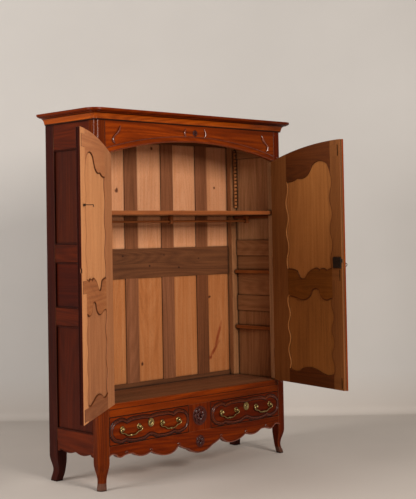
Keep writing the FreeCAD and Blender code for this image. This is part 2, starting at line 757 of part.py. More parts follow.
def make_hinges():
    """Three hinges to a door: barrel, leaf and pin on the post; barrel and leaf on the door."""
    fixed = []
    for side in (-1, 1):
        x = f"{side} * {AXIS}"
        for level in hinge_heights():
            barrel = rod("z", x, "-hinge_out", f"{level} - hinge_half", "hinge_radius", "hinge_half")
            pin = rod("z", x, "-hinge_out", f"{level} - 1", "hinge_pin", "hinge_half - 4")
            leaf = box(f"{HALF} - hinge_leaf", HALF, "-hinge_out", "door_thick", f"{level} - hinge_half", level, side)
            tip = turned(finial(-1), x, "-hinge_out", f"{level} - hinge_half")
            fixed.append(fuse(barrel, pin, leaf, tip))
    node("fixed_hinges", "carcase", group(*fixed))
    for name, side in (("left", 1), ("right", -1)):
        moving = []
        for level in hinge_heights():
            base = f"{level} + 0.3"
            barrel = rod("z", 0, 0, base, "hinge_radius", "hinge_half")
            leaf = box("1 - hinge_leaf", 1, 0, LEAF_FAR, base, f"{base} + hinge_half", side)
            tip = turned(finial(1), 0, 0, f"{base} + hinge_half")
            bore = rod("z", 0, 0, f"{level} - 1", "hinge_pin + hinge_play", "hinge_half - 1")
            moving.append(cut(fuse(barrel, leaf, tip), bore))
        node(f"{name}_moving_hinges", f"{name}_door", group(*moving))


# ------------------------------------------------------------------ doors
# Heights where the waved and the shaped edges of a door begin and end.
LOWER_EDGE = (583, 1055)
UPPER_HINGE = (1225, 1795)
UPPER_LOCK = (1236, 1822)
# Where the outlines below were drawn: the edges of the stiles, then the foot of the door, the foot of
# the lock case and the foot of the arch.
DRAWN_ACROSS = (166, 616)
DRAWN_UP = (493, 1241, 1937)


def stile_edges():
    """The inner edges of the hinge stile and the lock stile."""
    return 1 + number("hinge_stile"), number(f"{AXIS} - lock_stile")


def fitted_across(across):
    """A drawn distance from the hinge axis, carried to the door's own width."""
    near, far = stile_edges()
    return near + (across - DRAWN_ACROSS[0]) * (far - near) / (DRAWN_ACROSS[1] - DRAWN_ACROSS[0])


def fitted_up(height):
    """A drawn height, carried to the door's own foot, lock and arch."""
    foot, lock, arch = number("sill_height + door_gap"), number("case_base"), number("arch_spring")
    low, middle, high = DRAWN_UP
    if height < middle:
        return lock + (height - middle) * (lock - foot) / (middle - low)
    return lock + (height - middle) * (arch - lock) / (high - middle)


def fitted(outline):
    """A drawn outline, carried to the door's own size."""
    return [By(fitted_across(item.across), fitted_up(item.up)) if isinstance(item, By)
            else (fitted_across(item[0]), fitted_up(item[1])) for item in outline]


def waves(across, span, count, way):
    """Points of a gently waving edge that climbs over a drawn span."""
    low, high = (fitted_up(height) for height in span)
    points = [(across, low)]
    step = (high - low) / count
    for index in range(count):
        points.append(By(across + way * number("door_wave") * (-1) ** index, low + (index + 0.5) * step))
        points.append((across, low + (index + 1) * step))
    return points


def leaf_top(across):
    """Height of a door's arched top at a distance from its hinge axis."""
    return arch_height(number(AXIS) - across, number("door_gap"))


def arched(from_here, to_there):
    """The arched top between two distances from the hinge axis."""
    middle = (from_here + to_there) / 2
    return [(from_here, leaf_top(from_here)), By(middle, leaf_top(middle)), (to_there, leaf_top(to_there))]


def hinge_stile_outline():
    """The stile that carries the hinges."""
    inner = stile_edges()[0]
    base = number("sill_height + door_gap")
    points = [(1, base), (inner, base)] + waves(inner, LOWER_EDGE, 6, 1) + waves(inner, UPPER_HINGE, 6, -1)
    return points + arched(inner, 1)


def lock_stile_outline(free):
    """The stile at the meeting edge."""
    inner = stile_edges()[1]
    base = number("sill_height + door_gap")
    points = [(free, base), (inner, base)] + waves(inner, LOWER_EDGE, 6, 1) + waves(inner, UPPER_LOCK, 6, -1)
    return points + arched(inner, free)


def top_rail_outline():
    """The top rail, stepped up towards the meeting edge."""
    near, far = stile_edges()
    shaped = [(166, UPPER_HINGE[1]), By(225, 1797), (280, 1815), By(340, 1812), (385, 1830), By(410, 1856),
              (432, 1888), By(510, 1914), (585, 1888), By(603, 1858), (616, UPPER_LOCK[1])]
    return fitted(shaped) + arched(far, near)


def middle_rail_outline():
    """The middle rail, shaped above and below."""
    below = [(166, LOWER_EDGE[1]), By(215, 1052), (262, 1044), By(318, 1034), (364, 1045), By(392, 1065),
             (410, 1097), By(447, 1110), (484, 1101), By(491, 1078), (507, 1058), By(540, 1043), (583, 1050),
             By(600, 1053), (616, LOWER_EDGE[1])]
    above = [(616, UPPER_LOCK[0]), By(590, 1231), (560, 1221), By(525, 1234), (492, 1221), By(462, 1234),
             (430, 1229), By(378, 1203), (345, 1169), By(318, 1162), (290, 1170), By(277, 1188), (262, 1212),
             By(225, 1221), (166, UPPER_HINGE[0])]
    return fitted(below + above)


def bottom_rail_outline():
    """The bottom rail, shaped above."""
    near, far = stile_edges()
    base = number("sill_height + door_gap")
    return [(near, base), (far, base)] + fitted(
        [(616, LOWER_EDGE[0]), By(580, 571), (546, 568), By(512, 576), (478, 585), By(385, 603), (295, 587),
         By(268, 572), (240, 567), By(200, 569), (166, LOWER_EDGE[0])])


UPPER_PANEL = [(142, 1212), (250, 1200), (262, 1150), (360, 1150), (405, 1200), (445, 1208), (612, 1208),
               (612, 1236), (631, 1236), (631, 1835), (618, 1905), (585, 1928), (440, 1928), (375, 1850),
               (265, 1830), (142, 1810)]
LOWER_PANEL = [(142, 553), (612, 553), (612, 574), (631, 574), (631, 1066), (545, 1060), (508, 1075), (492, 1121),
               (405, 1121), (393, 1085), (362, 1060), (262, 1058), (142, 1068)]
UPPER_FIELD = [(195, 1245), (590, 1255), (590, 1790), (560, 1870), (460, 1870), (400, 1790), (195, 1770)]
LOWER_FIELD = [(195, 625), (590, 625), (590, 1010), (420, 1025), (195, 1010)]


PANEL_BACK = f"({LEAF_FAR} - panel_sunk)"


def tongue(outline, side, room=0):
    """A door panel's edge in its groove, or the groove."""
    return board("XZ", flipped(fitted(outline), side), f"{PANEL_BACK} - panel_tongue - {room}",
                 f"{PANEL_BACK} + {room}")


def door_panel(edge, field, side):
    """A panel, flat on its inner side, with a field raised on its outer side."""
    thick = board("XZ", flipped(fitted(field), side), f"{PANEL_BACK} - panel_field", PANEL_BACK)
    return fuse(tongue(edge, side), thick)


def hinge_tenon(low, high, side, room=0):
    """A blind tenon in the hinge stile, or its mortise."""
    low, high = fitted_up(low), fitted_up(high)
    inner = "(1 + hinge_stile)"
    return box(f"{inner} - 60 - {room}", f"{inner} + 2", f"{LEAF_NEAR} + 8 - {room}", f"{LEAF_NEAR} + 16 + {room}",
               f"{low} - {room}", f"{high} + {room}", side)


def lock_tenon(low, high, side, room=0, slack=0):
    """A tenon lapped into the inner face of the lock stile, or its mortise with slack at the end."""
    low, high = fitted_up(low), fitted_up(high)
    inner = f"({AXIS} - lock_stile)"
    return box(f"{inner} - 2", f"{inner} + 70 + {slack}", f"{LEAF_NEAR} + 14 - {room}", f"{LEAF_FAR} + {slack / 8}",
               f"{low} - {room}", f"{high} + {room}", side)


RAILS = (
    ("top_rail", top_rail_outline, (1822, 1930), (1930, 1998)),
    ("middle_rail", middle_rail_outline, (1078, 1200), (1164, 1230)),
    ("bottom_rail", bottom_rail_outline, (503, 548), (503, 568)),
)


def make_door(name, side):
    """Stiles, rails and panels of one door."""
    frame = f"{name}_door"
    grooves = [tongue(UPPER_PANEL, side, 0.1), tongue(LOWER_PANEL, side, 0.1)]
    for label, outline, hinge_span, lock_span in RAILS:
        rail = cut(board("XZ", flipped(outline(), side), LEAF_NEAR, LEAF_FAR), *grooves)
        node(f"{frame}_{label}", frame, fuse(rail, hinge_tenon(*hinge_span, side), lock_tenon(*lock_span, side)))
    mortises = [hinge_tenon(*span, side, 0.2) for _, _, span, _ in RAILS]
    stile = board("XZ", flipped(hinge_stile_outline(), side), LEAF_NEAR, LEAF_FAR)
    node(f"{frame}_hinge_stile", frame, cut(stile, *grooves, *mortises))

    lap_middle = f"({LEAF_NEAR} + door_thick / 2)"
    mortises = [lock_tenon(*span, side, 0.2, 8) for _, _, _, span in RAILS]
    if name == "left":
        free = f"{AXIS} + 3"
        rebate = box(f"{free} - lap_reach", f"{free} + 1", 0, f"{lap_middle} + 0.3", 0, "total_height", side)
        extras = [box(f"{AXIS} - bolt_throw + 3", f"{free} + 1", f"{LEAF_FAR} - 6.4", f"{LEAF_FAR} + 1",
                      f"{BOLT_BASE} - 1", f"{BOLT_BASE} + bolt_tall + 1.4", side)]
    else:
        free = f"{AXIS} + 6.5 - lap_gap"
        rebate = box(f"{AXIS} - 3 - lap_gap", f"{free} + 1", f"{lap_middle} - 0.3", f"{LEAF_FAR} + 9", 0,
                     "total_height", side)
        extras = lock_hollows(side)
    stile = board("XZ", flipped(lock_stile_outline(number(free)), side), LEAF_NEAR, LEAF_FAR)
    node(f"{frame}_lock_stile", frame, cut(stile, *grooves, *mortises, rebate, *extras))
    panels = [door_panel(UPPER_PANEL, UPPER_FIELD, side), door_panel(LOWER_PANEL, LOWER_FIELD, side)]
    node(f"{frame}_panels", frame, group(*panels))


# ------------------------------------------------------------------ lock and key of the right door
CASE_FAR = f"({AXIS} - 9)"
CASE_FACE = f"({LEAF_FAR} - 8)"
KEY_X = f"({CASE_FAR} - 46)"


def lock_hollows(side):
    """Recess for the lock case, channel for the bolt and hole for the key."""
    recess = box(f"{CASE_FAR} - case_wide - 0.2", f"{CASE_FAR} + 0.2", f"{CASE_FACE} - 0.2", f"{LEAF_FAR} + 9",
                 "case_base - 0.2", "case_base + case_tall + 0.2", side)
    channel = box(f"{CASE_FAR} - 5", f"{AXIS} + 9", f"{CASE_FACE} + 2", f"{CASE_FACE} + 8.4",
                  f"{BOLT_BASE} - 0.4", f"{BOLT_BASE} + bolt_tall + 0.8", side)
    hole = rod("y", f"{side} * {KEY_X}", 0, KEY_HEIGHT, "key_radius + 1.2", LEAF_FAR)
    return [recess, channel, hole]


def make_lock():
    """Lock case, bolt, key and keyhole plate of the right door."""
    side = -1
    key_x = f"{side} * {KEY_X}"
    case = box(f"{CASE_FAR} - case_wide", CASE_FAR, CASE_FACE, f"{CASE_FACE} + case_deep", "case_base",
               "case_base + case_tall", side)
    channel = box(f"{CASE_FAR} - case_wide + 12", f"{CASE_FAR} + 1", f"{CASE_FACE} + 2", f"{CASE_FACE} + 8",
                  f"{BOLT_BASE} - 0.3", f"{BOLT_BASE} + bolt_tall + 0.6", side)
    ward = rod("y", key_x, f"{CASE_FACE} + 2", KEY_HEIGHT, 12.5, 9.5)
    hole = rod("y", key_x, f"{CASE_FACE} - 1", KEY_HEIGHT, "key_radius + 0.6", 4)
    node("right_door_lock_case", "right_door", cut(case, channel, ward, hole))
    bolt = box(f"{CASE_FAR} - 50", f"{CASE_FAR} + 3.6", f"{CASE_FACE} + 2.3", f"{CASE_FACE} + 2.3 + bolt_thick",
               BOLT_BASE, f"{BOLT_BASE} + bolt_tall", side)
    node("right_door_lock_bolt", "right_door", bolt)
    plate = box(f"{KEY_X} - 14", f"{KEY_X} + 14", f"{LEAF_NEAR} - 1.5", LEAF_NEAR, f"{KEY_HEIGHT} - 34",
                f"{KEY_HEIGHT} + 30", side)
    hole = rod("y", key_x, 0, KEY_HEIGHT, "key_radius + 1", 9)
    node("right_door_escutcheon", "right_door", cut(plate, hole))
    shank = rod("y", key_x, "-36", KEY_HEIGHT, "key_radius", f"36 + {CASE_FACE} + 10")
    collar = rod("y", key_x, "-30", KEY_HEIGHT, "key_radius + 1.6", 4)
    bow = ring("x", key_x, "-36 - key_bow", KEY_HEIGHT, "key_bow", 2.2)
    bit = box(f"{KEY_X} - 1.3", f"{KEY_X} + 1.3", f"{CASE_FACE} + 3.5", f"{CASE_FACE} + 9.5", f"{KEY_HEIGHT} - 11",
              KEY_HEIGHT, side)
    node("right_door_key", "right_door", fuse(shank, collar, bow, bit))


# ------------------------------------------------------------------ hook of the left door
HOOK_U = "(body_width / 2 - post_face - hinge_inset - 50)"
HOOK_PIVOT = f"({LEAF_FAR} + 8)"
HOOK_X = "(-50)"
HOOK_Y = f"({HOOK_PIVOT} + hook_reach - hinge_out)"


def make_hook():
    """A hook that drops into a plate on the shelf, and the staple it hangs from."""
    legs = [rod("y", f"{HOOK_U} + {offset}", LEAF_FAR, "hook_height", "hook_radius - 0.3", 8) for offset in (-9, 9)]
    bar = rod("x", f"{HOOK_U} - 11", HOOK_PIVOT, "hook_height", "hook_radius", 22)
    node("left_door_hook_staple", "left_door", fuse(bar, *legs))
    eye = ring("x", HOOK_U, HOOK_PIVOT, "hook_height", "hook_radius + 2.7", "hook_radius - 0.1")
    arm = rod("y", HOOK_U, f"{HOOK_PIVOT} + 5", "hook_height", "hook_radius", "hook_reach - 5")
    elbow = ball("y", HOOK_U, f"{HOOK_PIVOT} + hook_reach", "hook_height", "hook_radius")
    tip = rod("z", HOOK_U, f"{HOOK_PIVOT} + hook_reach", "hook_height - 12", "hook_radius", 12)
    node("left_door_hook", "left_door", fuse(eye, arm, elbow, tip))


# ------------------------------------------------------------------ drawers
DRAWER_NEAR = "(stile_half + drawer_gap)"
DRAWER_FAR = f"({HALF} - drawer_gap)"
DRAWER_MIDDLE = f"(({HALF} + stile_half) / 2)"
# Right half of the raised field of a drawer front, from its middle: across, then up from the middle.
FIELD_EDGE = [By(50, 60), (105, 59), By(150, 57), (184, 46), By(214, 61), (250, 57), By(303, -2), (250, -61),
              By(220, -67), (190, -58), By(135, -71), (80, -70), By(52, -68), (28, -58)]
# The width of the drawer front and the height of the opening for which the field was drawn.
FIELD_FRONT = (619.5, 167)


def drawer_strike(side):
    """Slot in the lower rail for a drawer's bolt."""
    return box(f"{DRAWER_MIDDLE} - 13", f"{DRAWER_MIDDLE} + 13", 14, 21, "drawer_top - 1",
               "drawer_top + drawer_bolt_throw", side)


def field_outline(side):
    """The raised field of a drawer front, the same to its left and right."""
    middle = number(DRAWER_MIDDLE)
    level = number("(drawer_top + drawer_base) / 2")
    wide = (number(DRAWER_FAR) - number(DRAWER_NEAR)) / FIELD_FRONT[0]
    tall = (number("drawer_top") - number("drawer_base")) / FIELD_FRONT[1]
    right = [(0, 53)] + FIELD_EDGE
    left = list(reversed(flipped(FIELD_EDGE, -1)))
    whole = right + [By(0, -51)] + left
    moved = [By(middle + item.across * wide, level + item.up * tall) if isinstance(item, By)
             else (middle + item[0] * wide, level + item[1] * tall) for item in whole]
    return flipped(moved, side)


def rounded(spots, radius):
    """A path through spots whose corners are arcs of one radius, or less where a run is short."""
    edges = []
    here = spots[0]
    for before, corner, after in zip(spots, spots[1:], spots[2:]):
        back = (before - corner).normalize()
        ahead = (after - corner).normalize()
        half = back.getAngle(ahead) / 2
        room = 0.48 * min((before - corner).Length, (after - corner).Length)
        reach = min(radius / math.tan(half), room)
        bulge = reach * math.tan(half) * (1 / math.sin(half) - 1)
        start = corner + back * reach
        finish = corner + ahead * reach
        middle = corner + (back + ahead).normalize() * bulge
        edges += [Part.LineSegment(here, start).toShape(), Part.Arc(start, middle, finish).toShape()]
        here = finish
    edges.append(Part.LineSegment(here, spots[-1]).toShape())
    return Part.Wire(edges)


def bail(side, middle):
    """A swan-necked bail with a turned middle, drawn about its pivots."""
    x = number(middle) * side
    y = -number("handle_out")
    z = number("handle_height")
    half = number("handle_half")
    drop = number("bail_drop")
    shape = [(half - 8, 0), (half + 15, 0), (half + 17, -0.45 * drop), (half - 10, -0.62 * drop),
             (half - 30, -drop)]
    spots = [V(x - across, y, z + up) for across, up in shape]
    spots += [V(x + across, y, z + up) for across, up in reversed(shape)]
    path = rounded(spots, 12)
    circle = Part.Wire([Part.Circle(spots[0], V(1, 0, 0), number("bail_radius")).toShape()])
    wire = made(path.makePipeShell([circle], True, True))
    middle_x = f"{side} * {middle}"
    level = "handle_height - bail_drop"
    beads = [ball("x", middle_x, "-handle_out", level, "bail_radius + 2.6")]
    beads += [rod("x", f"{middle_x} + {offset}", "-handle_out", level, "bail_radius + 1.3", 3) for offset in (-13, 10)]
    return fuse(wire, *beads)


def handle_post(x):
    """A handle post: rosette, stem and a bored head."""
    face = "-field_raise"
    plate = rod("y", x, f"{face} - 3", "handle_height", 11, 3)
    stem = rod("y", x, "-handle_out", "handle_height", 4.5, "handle_out - field_raise")
    head = ball("y", x, "-handle_out", "handle_height", 7.5)
    bore = rod("x", f"{x} - 9", "-handle_out", "handle_height", "bail_radius + bail_play", 18)
    return cut(fuse(plate, stem, head), bore)


def make_drawer(name, side):
    """Front, box, fittings, lock bolt and bails of one drawer."""
    low, high = "drawer_base + drawer_gap", "drawer_top - drawer_gap"
    front = box(DRAWER_NEAR, DRAWER_FAR, 0, "drawer_front", low, high, side)
    field = board("XZ", field_outline(side), "-field_raise", 1)
    lock_low, lock_high = "drawer_top - 82", "drawer_top - 17"
    recess = box(f"{DRAWER_MIDDLE} - 30.2", f"{DRAWER_MIDDLE} + 30.2", 12.8, "drawer_front + 1",
                 f"{lock_low} - 0.2", f"{lock_high} + 0.2", side)
    channel = box(f"{DRAWER_MIDDLE} - 12.3", f"{DRAWER_MIDDLE} + 12.3", 14.7, 20.3, "drawer_top - 40",
                  "drawer_top + 1", side)
    keyhole = rod("y", f"{side} * {DRAWER_MIDDLE}", "-field_raise - 1", "handle_height + 12", 3.5, 30)
    node(f"{name}_drawer_front", "carcase", cut(fuse(front, field), recess, channel, keyhole))

    inner, outer = f"({DRAWER_NEAR} + 3)", f"({DRAWER_FAR} - 3)"
    side_spans = ((inner, f"{inner} + drawer_board"), (f"{outer} - drawer_board", outer))
    sides = [box(near, far, "drawer_front", "drawer_long", "drawer_base + 2", "drawer_top - 22", side)
             for near, far in side_spans]
    between = (f"{inner} + drawer_board", f"{outer} - drawer_board")
    base = box(*between, "drawer_front", "drawer_long", "drawer_base + 8", "drawer_base + 16", side)
    rear = box(*between, "drawer_long - drawer_board", "drawer_long", "drawer_base + 16", "drawer_top - 27", side)
    node(f"{name}_drawer_box", "carcase", group(*sides, base, rear))

    posts = []
    for way in (-1, 1):
        for end in (-1, 1):
            spot = f"{side} * ({DRAWER_MIDDLE} + {way} * handle_spread + {end} * handle_half)"
            posts.append(handle_post(spot))
    plate = rod("y", f"{side} * {DRAWER_MIDDLE}", "-field_raise - 2", "handle_height + 12", "plate_radius", 2)
    plate_hole = rod("y", f"{side} * {DRAWER_MIDDLE}", "-field_raise - 3", "handle_height + 12", 3, 4)
    case = box(f"{DRAWER_MIDDLE} - 30", f"{DRAWER_MIDDLE} + 30", 13, "drawer_front", lock_low, lock_high, side)
    slot = box(f"{DRAWER_MIDDLE} - 12.4", f"{DRAWER_MIDDLE} + 12.4", 14.6, 20.4, "drawer_top - 45", "drawer_top", side)
    case_hole = rod("y", f"{side} * {DRAWER_MIDDLE}", 12, "handle_height + 12", 3, 8)
    fittings = group(cut(plate, plate_hole), cut(case, slot, case_hole), *posts)
    node(f"{name}_drawer_fittings", "carcase", fittings)
    bolt_top = "drawer_top - drawer_gap - 0.5"
    bolt = box(f"{DRAWER_MIDDLE} - 12", f"{DRAWER_MIDDLE} + 12", 15, 20, f"{bolt_top} - drawer_bolt_tall", bolt_top, side)
    node(f"{name}_drawer_bolt", "carcase", bolt)
    for word, way in (("inner", -1), ("outer", 1)):
        middle = f"({DRAWER_MIDDLE} + {way} * handle_spread)"
        node(f"{name}_drawer_{word}_bail", "carcase", bail(side, middle))


# ------------------------------------------------------------------ build, check and write
def check_everything():
    """Stop if any object failed or any sub-part isn't a set of sound solids."""
    for item in doc.Objects:
        if "Invalid" in item.State or "Error" in item.State:
            raise RuntimeError(f"{item.Label} ({item.TypeId}) failed: {item.State}")
    for item in nodes:
        shape = item.Shape
        if shape.isNull() or not shape.isValid() or not shape.Solids:
            raise RuntimeError(f"{item.Label} has no sound shape")
        if min(solid.Volume for solid in shape.Solids) <= 0:
            raise RuntimeError(f"{item.Label} has an empty solid")


def write_parts():
    """Write one STEP file for each sub-part."""
    os.makedirs("parts", exist_ok=True)
    for item in nodes:
        item.Shape.exportStep(f"parts/{item.Label}.step")


make_posts()
make_front_frame()
make_sides()
make_back()
make_boards()
make_cornice()
make_inside()
make_hinges()
make_door("left", 1)
make_door("right", -1)
make_lock()
make_hook()
make_drawer("left", -1)
make_drawer("right", 1)
doc.recompute()
check_everything()
write_parts()
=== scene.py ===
"""Dresses the two-door armoire: softened boards with wood finishes, mouldings, carving, brass and ironwork."""
import cmath
import math

import bmesh
import bpy
from mathutils import Matrix, Vector


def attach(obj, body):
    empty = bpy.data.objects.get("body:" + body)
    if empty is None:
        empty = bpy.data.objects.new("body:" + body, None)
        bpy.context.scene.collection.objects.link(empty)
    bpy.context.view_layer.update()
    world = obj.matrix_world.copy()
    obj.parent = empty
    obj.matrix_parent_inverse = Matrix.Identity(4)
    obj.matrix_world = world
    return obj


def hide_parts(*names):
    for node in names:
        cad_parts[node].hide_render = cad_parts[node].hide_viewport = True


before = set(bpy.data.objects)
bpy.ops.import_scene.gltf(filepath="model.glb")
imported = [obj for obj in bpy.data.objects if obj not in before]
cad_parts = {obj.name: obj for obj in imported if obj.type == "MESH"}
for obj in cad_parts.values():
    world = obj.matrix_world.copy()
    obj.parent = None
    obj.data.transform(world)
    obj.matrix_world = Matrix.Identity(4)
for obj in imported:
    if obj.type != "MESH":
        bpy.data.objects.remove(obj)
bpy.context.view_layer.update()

bl_info = {
    "name": "Two-door armoire",
    "version": (1, 0, 0),
    "blender": (4, 5, 0),
    "location": "View3D > Sidebar > Armoire",
    "description": "Finishes, mouldings, carving and metalwork of a two-door armoire",
    "category": "Object",
}

MM = 0.001

# Sizes of the solids, in millimetres.
SHIFT_RIGHT, SHIFT_BACK = 208, 111  # from the origin to the middle of the carcase's front plane
BODY_HALF, OPENING_HALF, STILE_HALF = 785.5, 716.5, 92
HINGE_AXIS, HINGE_OUT = 715, 6
LEFT_OPEN, RIGHT_OPEN = 141.7, 79.4  # degrees
SILL, DRAWER_TOP, DRAWER_BASE = 490, 417, 250
DRAWER_MIDDLE, DRAWER_LEVEL = (OPENING_HALF + STILE_HALF) / 2, (DRAWER_TOP + DRAWER_BASE) / 2
ARCH_SPRING, ARCH_RISE = 1937, 97
HANDLE_HEIGHT, HANDLE_OUT, HANDLE_HALF = 340, 15, 64
BAIL_AWAY = 155  # from the middle of a drawer to the middle of a bail
SIDE_OPENINGS = ((320, 933), (1038, 1310), (1415, 1980))  # foot and head of the side panels
SIDE_OPENING_DEPTH = (66, 406)  # front and back of them
LOCK_STILE_EDGE = 616
LAP_END, LAP_DEPTH = 712, 20  # laps of the right door's rails over its lock stile

# Where a finish changes, in millimetres: along the front, or as a height unless it says otherwise.
TOE = 42
BAND_BASE, BAND_TOP, BAND_QUIRK = 2141, 2172, 3
JOINT_EDGE = 713.5
GROOVE_BASE, GROOVE_TOP = 457, 460
DRAWER_SEAMS = (97.5, 711, 255.5, 411.5)
POST_SPLIT = 100  # depth that parts front posts from back posts
MUNTIN_EDGE, MUNTIN_TOP = 400, 1300  # the darkest muntin lies beyond and below these
UPPER_SIDE, MIDDLE_SIDE = 1400, 1030
GREY_PANEL, GREY_RAIL = 1415, 1900
FREE_EDGE, EDGE_SPLIT, WHOLE_EDGE = 700, 17, 31  # where a door's edge is, and how deep its polish goes
DOOR_MIDDLE, DOOR_LOW, DOOR_HIGH = 1140, 700, 1500
SHELF_FRONT = 30  # depth

# Mouldings, in millimetres.
ARCH_BEADS = (33, 5)  # above the arch
POST_BEAD = (470, 1965)
INNER_BEAD = 25.8  # depth on a door's inner face
HINGE_WAVE = 185  # what lies nearer to the hinge is the waving upright edge


def door_frame(side, angle):
    """Where a door's own frame stands, about its hinge axis."""
    pivot = Matrix.Translation(Vector((SHIFT_RIGHT + side * HINGE_AXIS, SHIFT_BACK - HINGE_OUT, 0)) * MM)
    return pivot @ Matrix.Rotation(math.radians(angle), 4, "Z")


FRAMES = {
    "carcase": Matrix.Translation(Vector((SHIFT_RIGHT, SHIFT_BACK, 0)) * MM),
    "left_door": door_frame(-1, -LEFT_OPEN),
    "right_door": door_frame(1, RIGHT_OPEN),
}
TURNS = {"carcase": 0, "left_door": -LEFT_OPEN, "right_door": RIGHT_OPEN}


# ------------------------------------------------------------------ colours and nodes
def linear(code):
    """A linear colour from an sRGB hex code."""
    parts = [int(code[start:start + 2], 16) / 255 for start in (0, 2, 4)]
    return tuple(part / 12.92 if part <= 0.04045 else ((part + 0.055) / 1.055) ** 2.4 for part in parts)


def add(tree, kind, settings=None, sockets=None):
    """Adds a shader node with its settings; a socket's entry is a link or a plain value."""
    made = tree.nodes.new("ShaderNode" + kind)
    for name, value in (settings or {}).items():
        setattr(made, name, value)
    for name, value in (sockets or {}).items():
        if isinstance(value, bpy.types.NodeSocket):
            tree.links.new(value, made.inputs[name])
        else:
            made.inputs[name].default_value = value
    return made


def new_material(name):
    """An empty material and its tree."""
    material = bpy.data.materials.new(name)
    material.use_nodes = True
    material.node_tree.nodes.clear()
    return material, material.node_tree


def finish_material(tree, colour, roughness, bump, **uniform):
    """The surface shader, with the values that are the same all over set on its own sockets."""
    sockets = {"Base Color": colour, "Roughness": roughness}
    if bump is not None:
        sockets["Normal"] = bump
    shader = add(tree, "BsdfPrincipled", None, sockets)
    for name, value in uniform.items():
        shader.inputs[name.replace("_", " ")].default_value = value
    output = add(tree, "OutputMaterial", None, {"Surface": shader.outputs[0]})
    return shader, output


def ramp(tree, factor, stops):
    """A colour ramp between (place, hex) stops."""
    made = add(tree, "ValToRGB", None, {"Fac": factor})
    band = made.color_ramp
    while len(band.elements) < len(stops):
        band.elements.new(0.5)
    for element, (place, code) in zip(band.elements, stops):
        element.position = place
        element.color = linear(code) + (1,)
    return made.outputs["Color"]


def scaled_noise(tree, vector, scales, detail, roughness=0.5):
    """Noise whose grain is as long and wide as three scales, in features per metre."""
    return add(tree, "TexNoise", None, {"Vector": vectors(tree, "MULTIPLY", vector, scales), "Scale": 1.0,
                                        "Detail": detail, "Roughness": roughness}).outputs["Fac"]


def arithmetic(tree, operation, first, second=0.0, third=0.0):
    """One sum on two or three numbers."""
    return add(tree, "Math", {"operation": operation}, {0: first, 1: second, 2: third}).outputs[0]


def vectors(tree, operation, *values):
    """One sum on vectors or colours."""
    return add(tree, "VectorMath", {"operation": operation}, dict(enumerate(values))).outputs[0]


def scaled(tree, colour, share):
    """A vector or a colour times one number."""
    return add(tree, "VectorMath", {"operation": "SCALE"}, {0: colour, "Scale": share}).outputs[0]


def carried(tree, value, low, high, to_low=0.0, to_high=1.0, way="LINEAR"):
    """A value carried from one range to another."""
    return add(tree, "MapRange", {"interpolation_type": way},
               {"Value": value, "From Min": low, "From Max": high, "To Min": to_low, "To Max": to_high}).outputs[0]


def openness(tree, distance):
    """How open the surface lies around a point: 1 on a flat face, less in a corner."""
    return add(tree, "AmbientOcclusion", {"samples": 8}, {"Distance": distance}).outputs["AO"]


def bumped(tree, strength, distance, height):
    """Fine relief from a height."""
    return add(tree, "Bump", None, {"Strength": strength, "Distance": distance, "Height": height}).outputs[0]


def own_place(tree):
    """A point's place in its piece's own coordinates."""
    return add(tree, "TexCoord").outputs["Object"]


# How a finish lies: its timber, the places of its colours on the ramp from dark latewood to pale
# earlywood, its roughness range, its coat, its reflection and the depth of its pores.
FINISHES = {
    "front": ("cherry", (0.0, 0.36, 0.62, 1.0), (0.26, 0.42), 0.02, 0.05, 0.1),
    "side": ("cherry", (0.0, 0.36, 0.62, 1.0), (0.28, 0.44), 0.02, 0.08, 0.1),
    "moulding": ("cherry", (0.0, 0.4, 0.7, 1.0), (0.14, 0.24), 1.0, 0.5, 0.05),
    "rim": ("cherry", (0.0, 0.4, 0.7, 1.0), (0.2, 0.3), 0.35, 0.3, 0.05),
    "carving": ("cherry", (0.0, 0.4, 0.7, 1.0), (0.3, 0.42), 0.2, 0.25, 0.05),
    "wax": ("cherry", (0.0, 0.5, 1.0), (0.4, 0.6), 0.0, 0.1, 0.05),
    "post": ("cherry", (0.0, 0.36, 0.62, 1.0), (0.1, 0.17), 0.07, 0.06, 0.08),
    "scuffed": ("cherry", (0.0, 0.5, 1.0), (0.6, 0.8), 0.0, 0.1, 0.3),
    "faded": ("cherry", (0.0, 0.36, 0.62, 1.0), (0.26, 0.42), 0.03, 0.1, 0.1),
    "rubbed": ("cherry", (0.0, 0.5, 1.0), (0.3, 0.45), 0.05, 0.3, 0.1),
    "left door": ("cherry", (0.0, 0.35, 0.65, 1.0), (0.5, 0.66), 0.0, 0.25, 0.25),
    "left rails": ("cherry", (0.0, 0.35, 0.65, 1.0), (0.5, 0.68), 0.0, 0.25, 0.25),
    "right door": ("cherry", (0.0, 0.35, 0.65, 1.0), (0.5, 0.66), 0.0, 0.2, 0.25),
    "right rails": ("cherry", (0.0, 0.35, 0.65, 1.0), (0.5, 0.68), 0.0, 0.2, 0.25),
    "panel": ("poplar", (0.0, 0.3, 0.6, 1.0), (0.6, 0.78), 0.0, 0.2, 0.35),
    "back": ("walnut", (0.0, 0.35, 0.65, 1.0), (0.6, 0.8), 0.0, 0.2, 0.35),
    "dry": ("cherry", (0.0, 0.35, 0.65, 1.0), (0.55, 0.75), 0.0, 0.2, 0.3),
    "clean": ("poplar", (0.0, 0.35, 0.65, 1.0), (0.45, 0.6), 0.0, 0.25, 0.25),
}
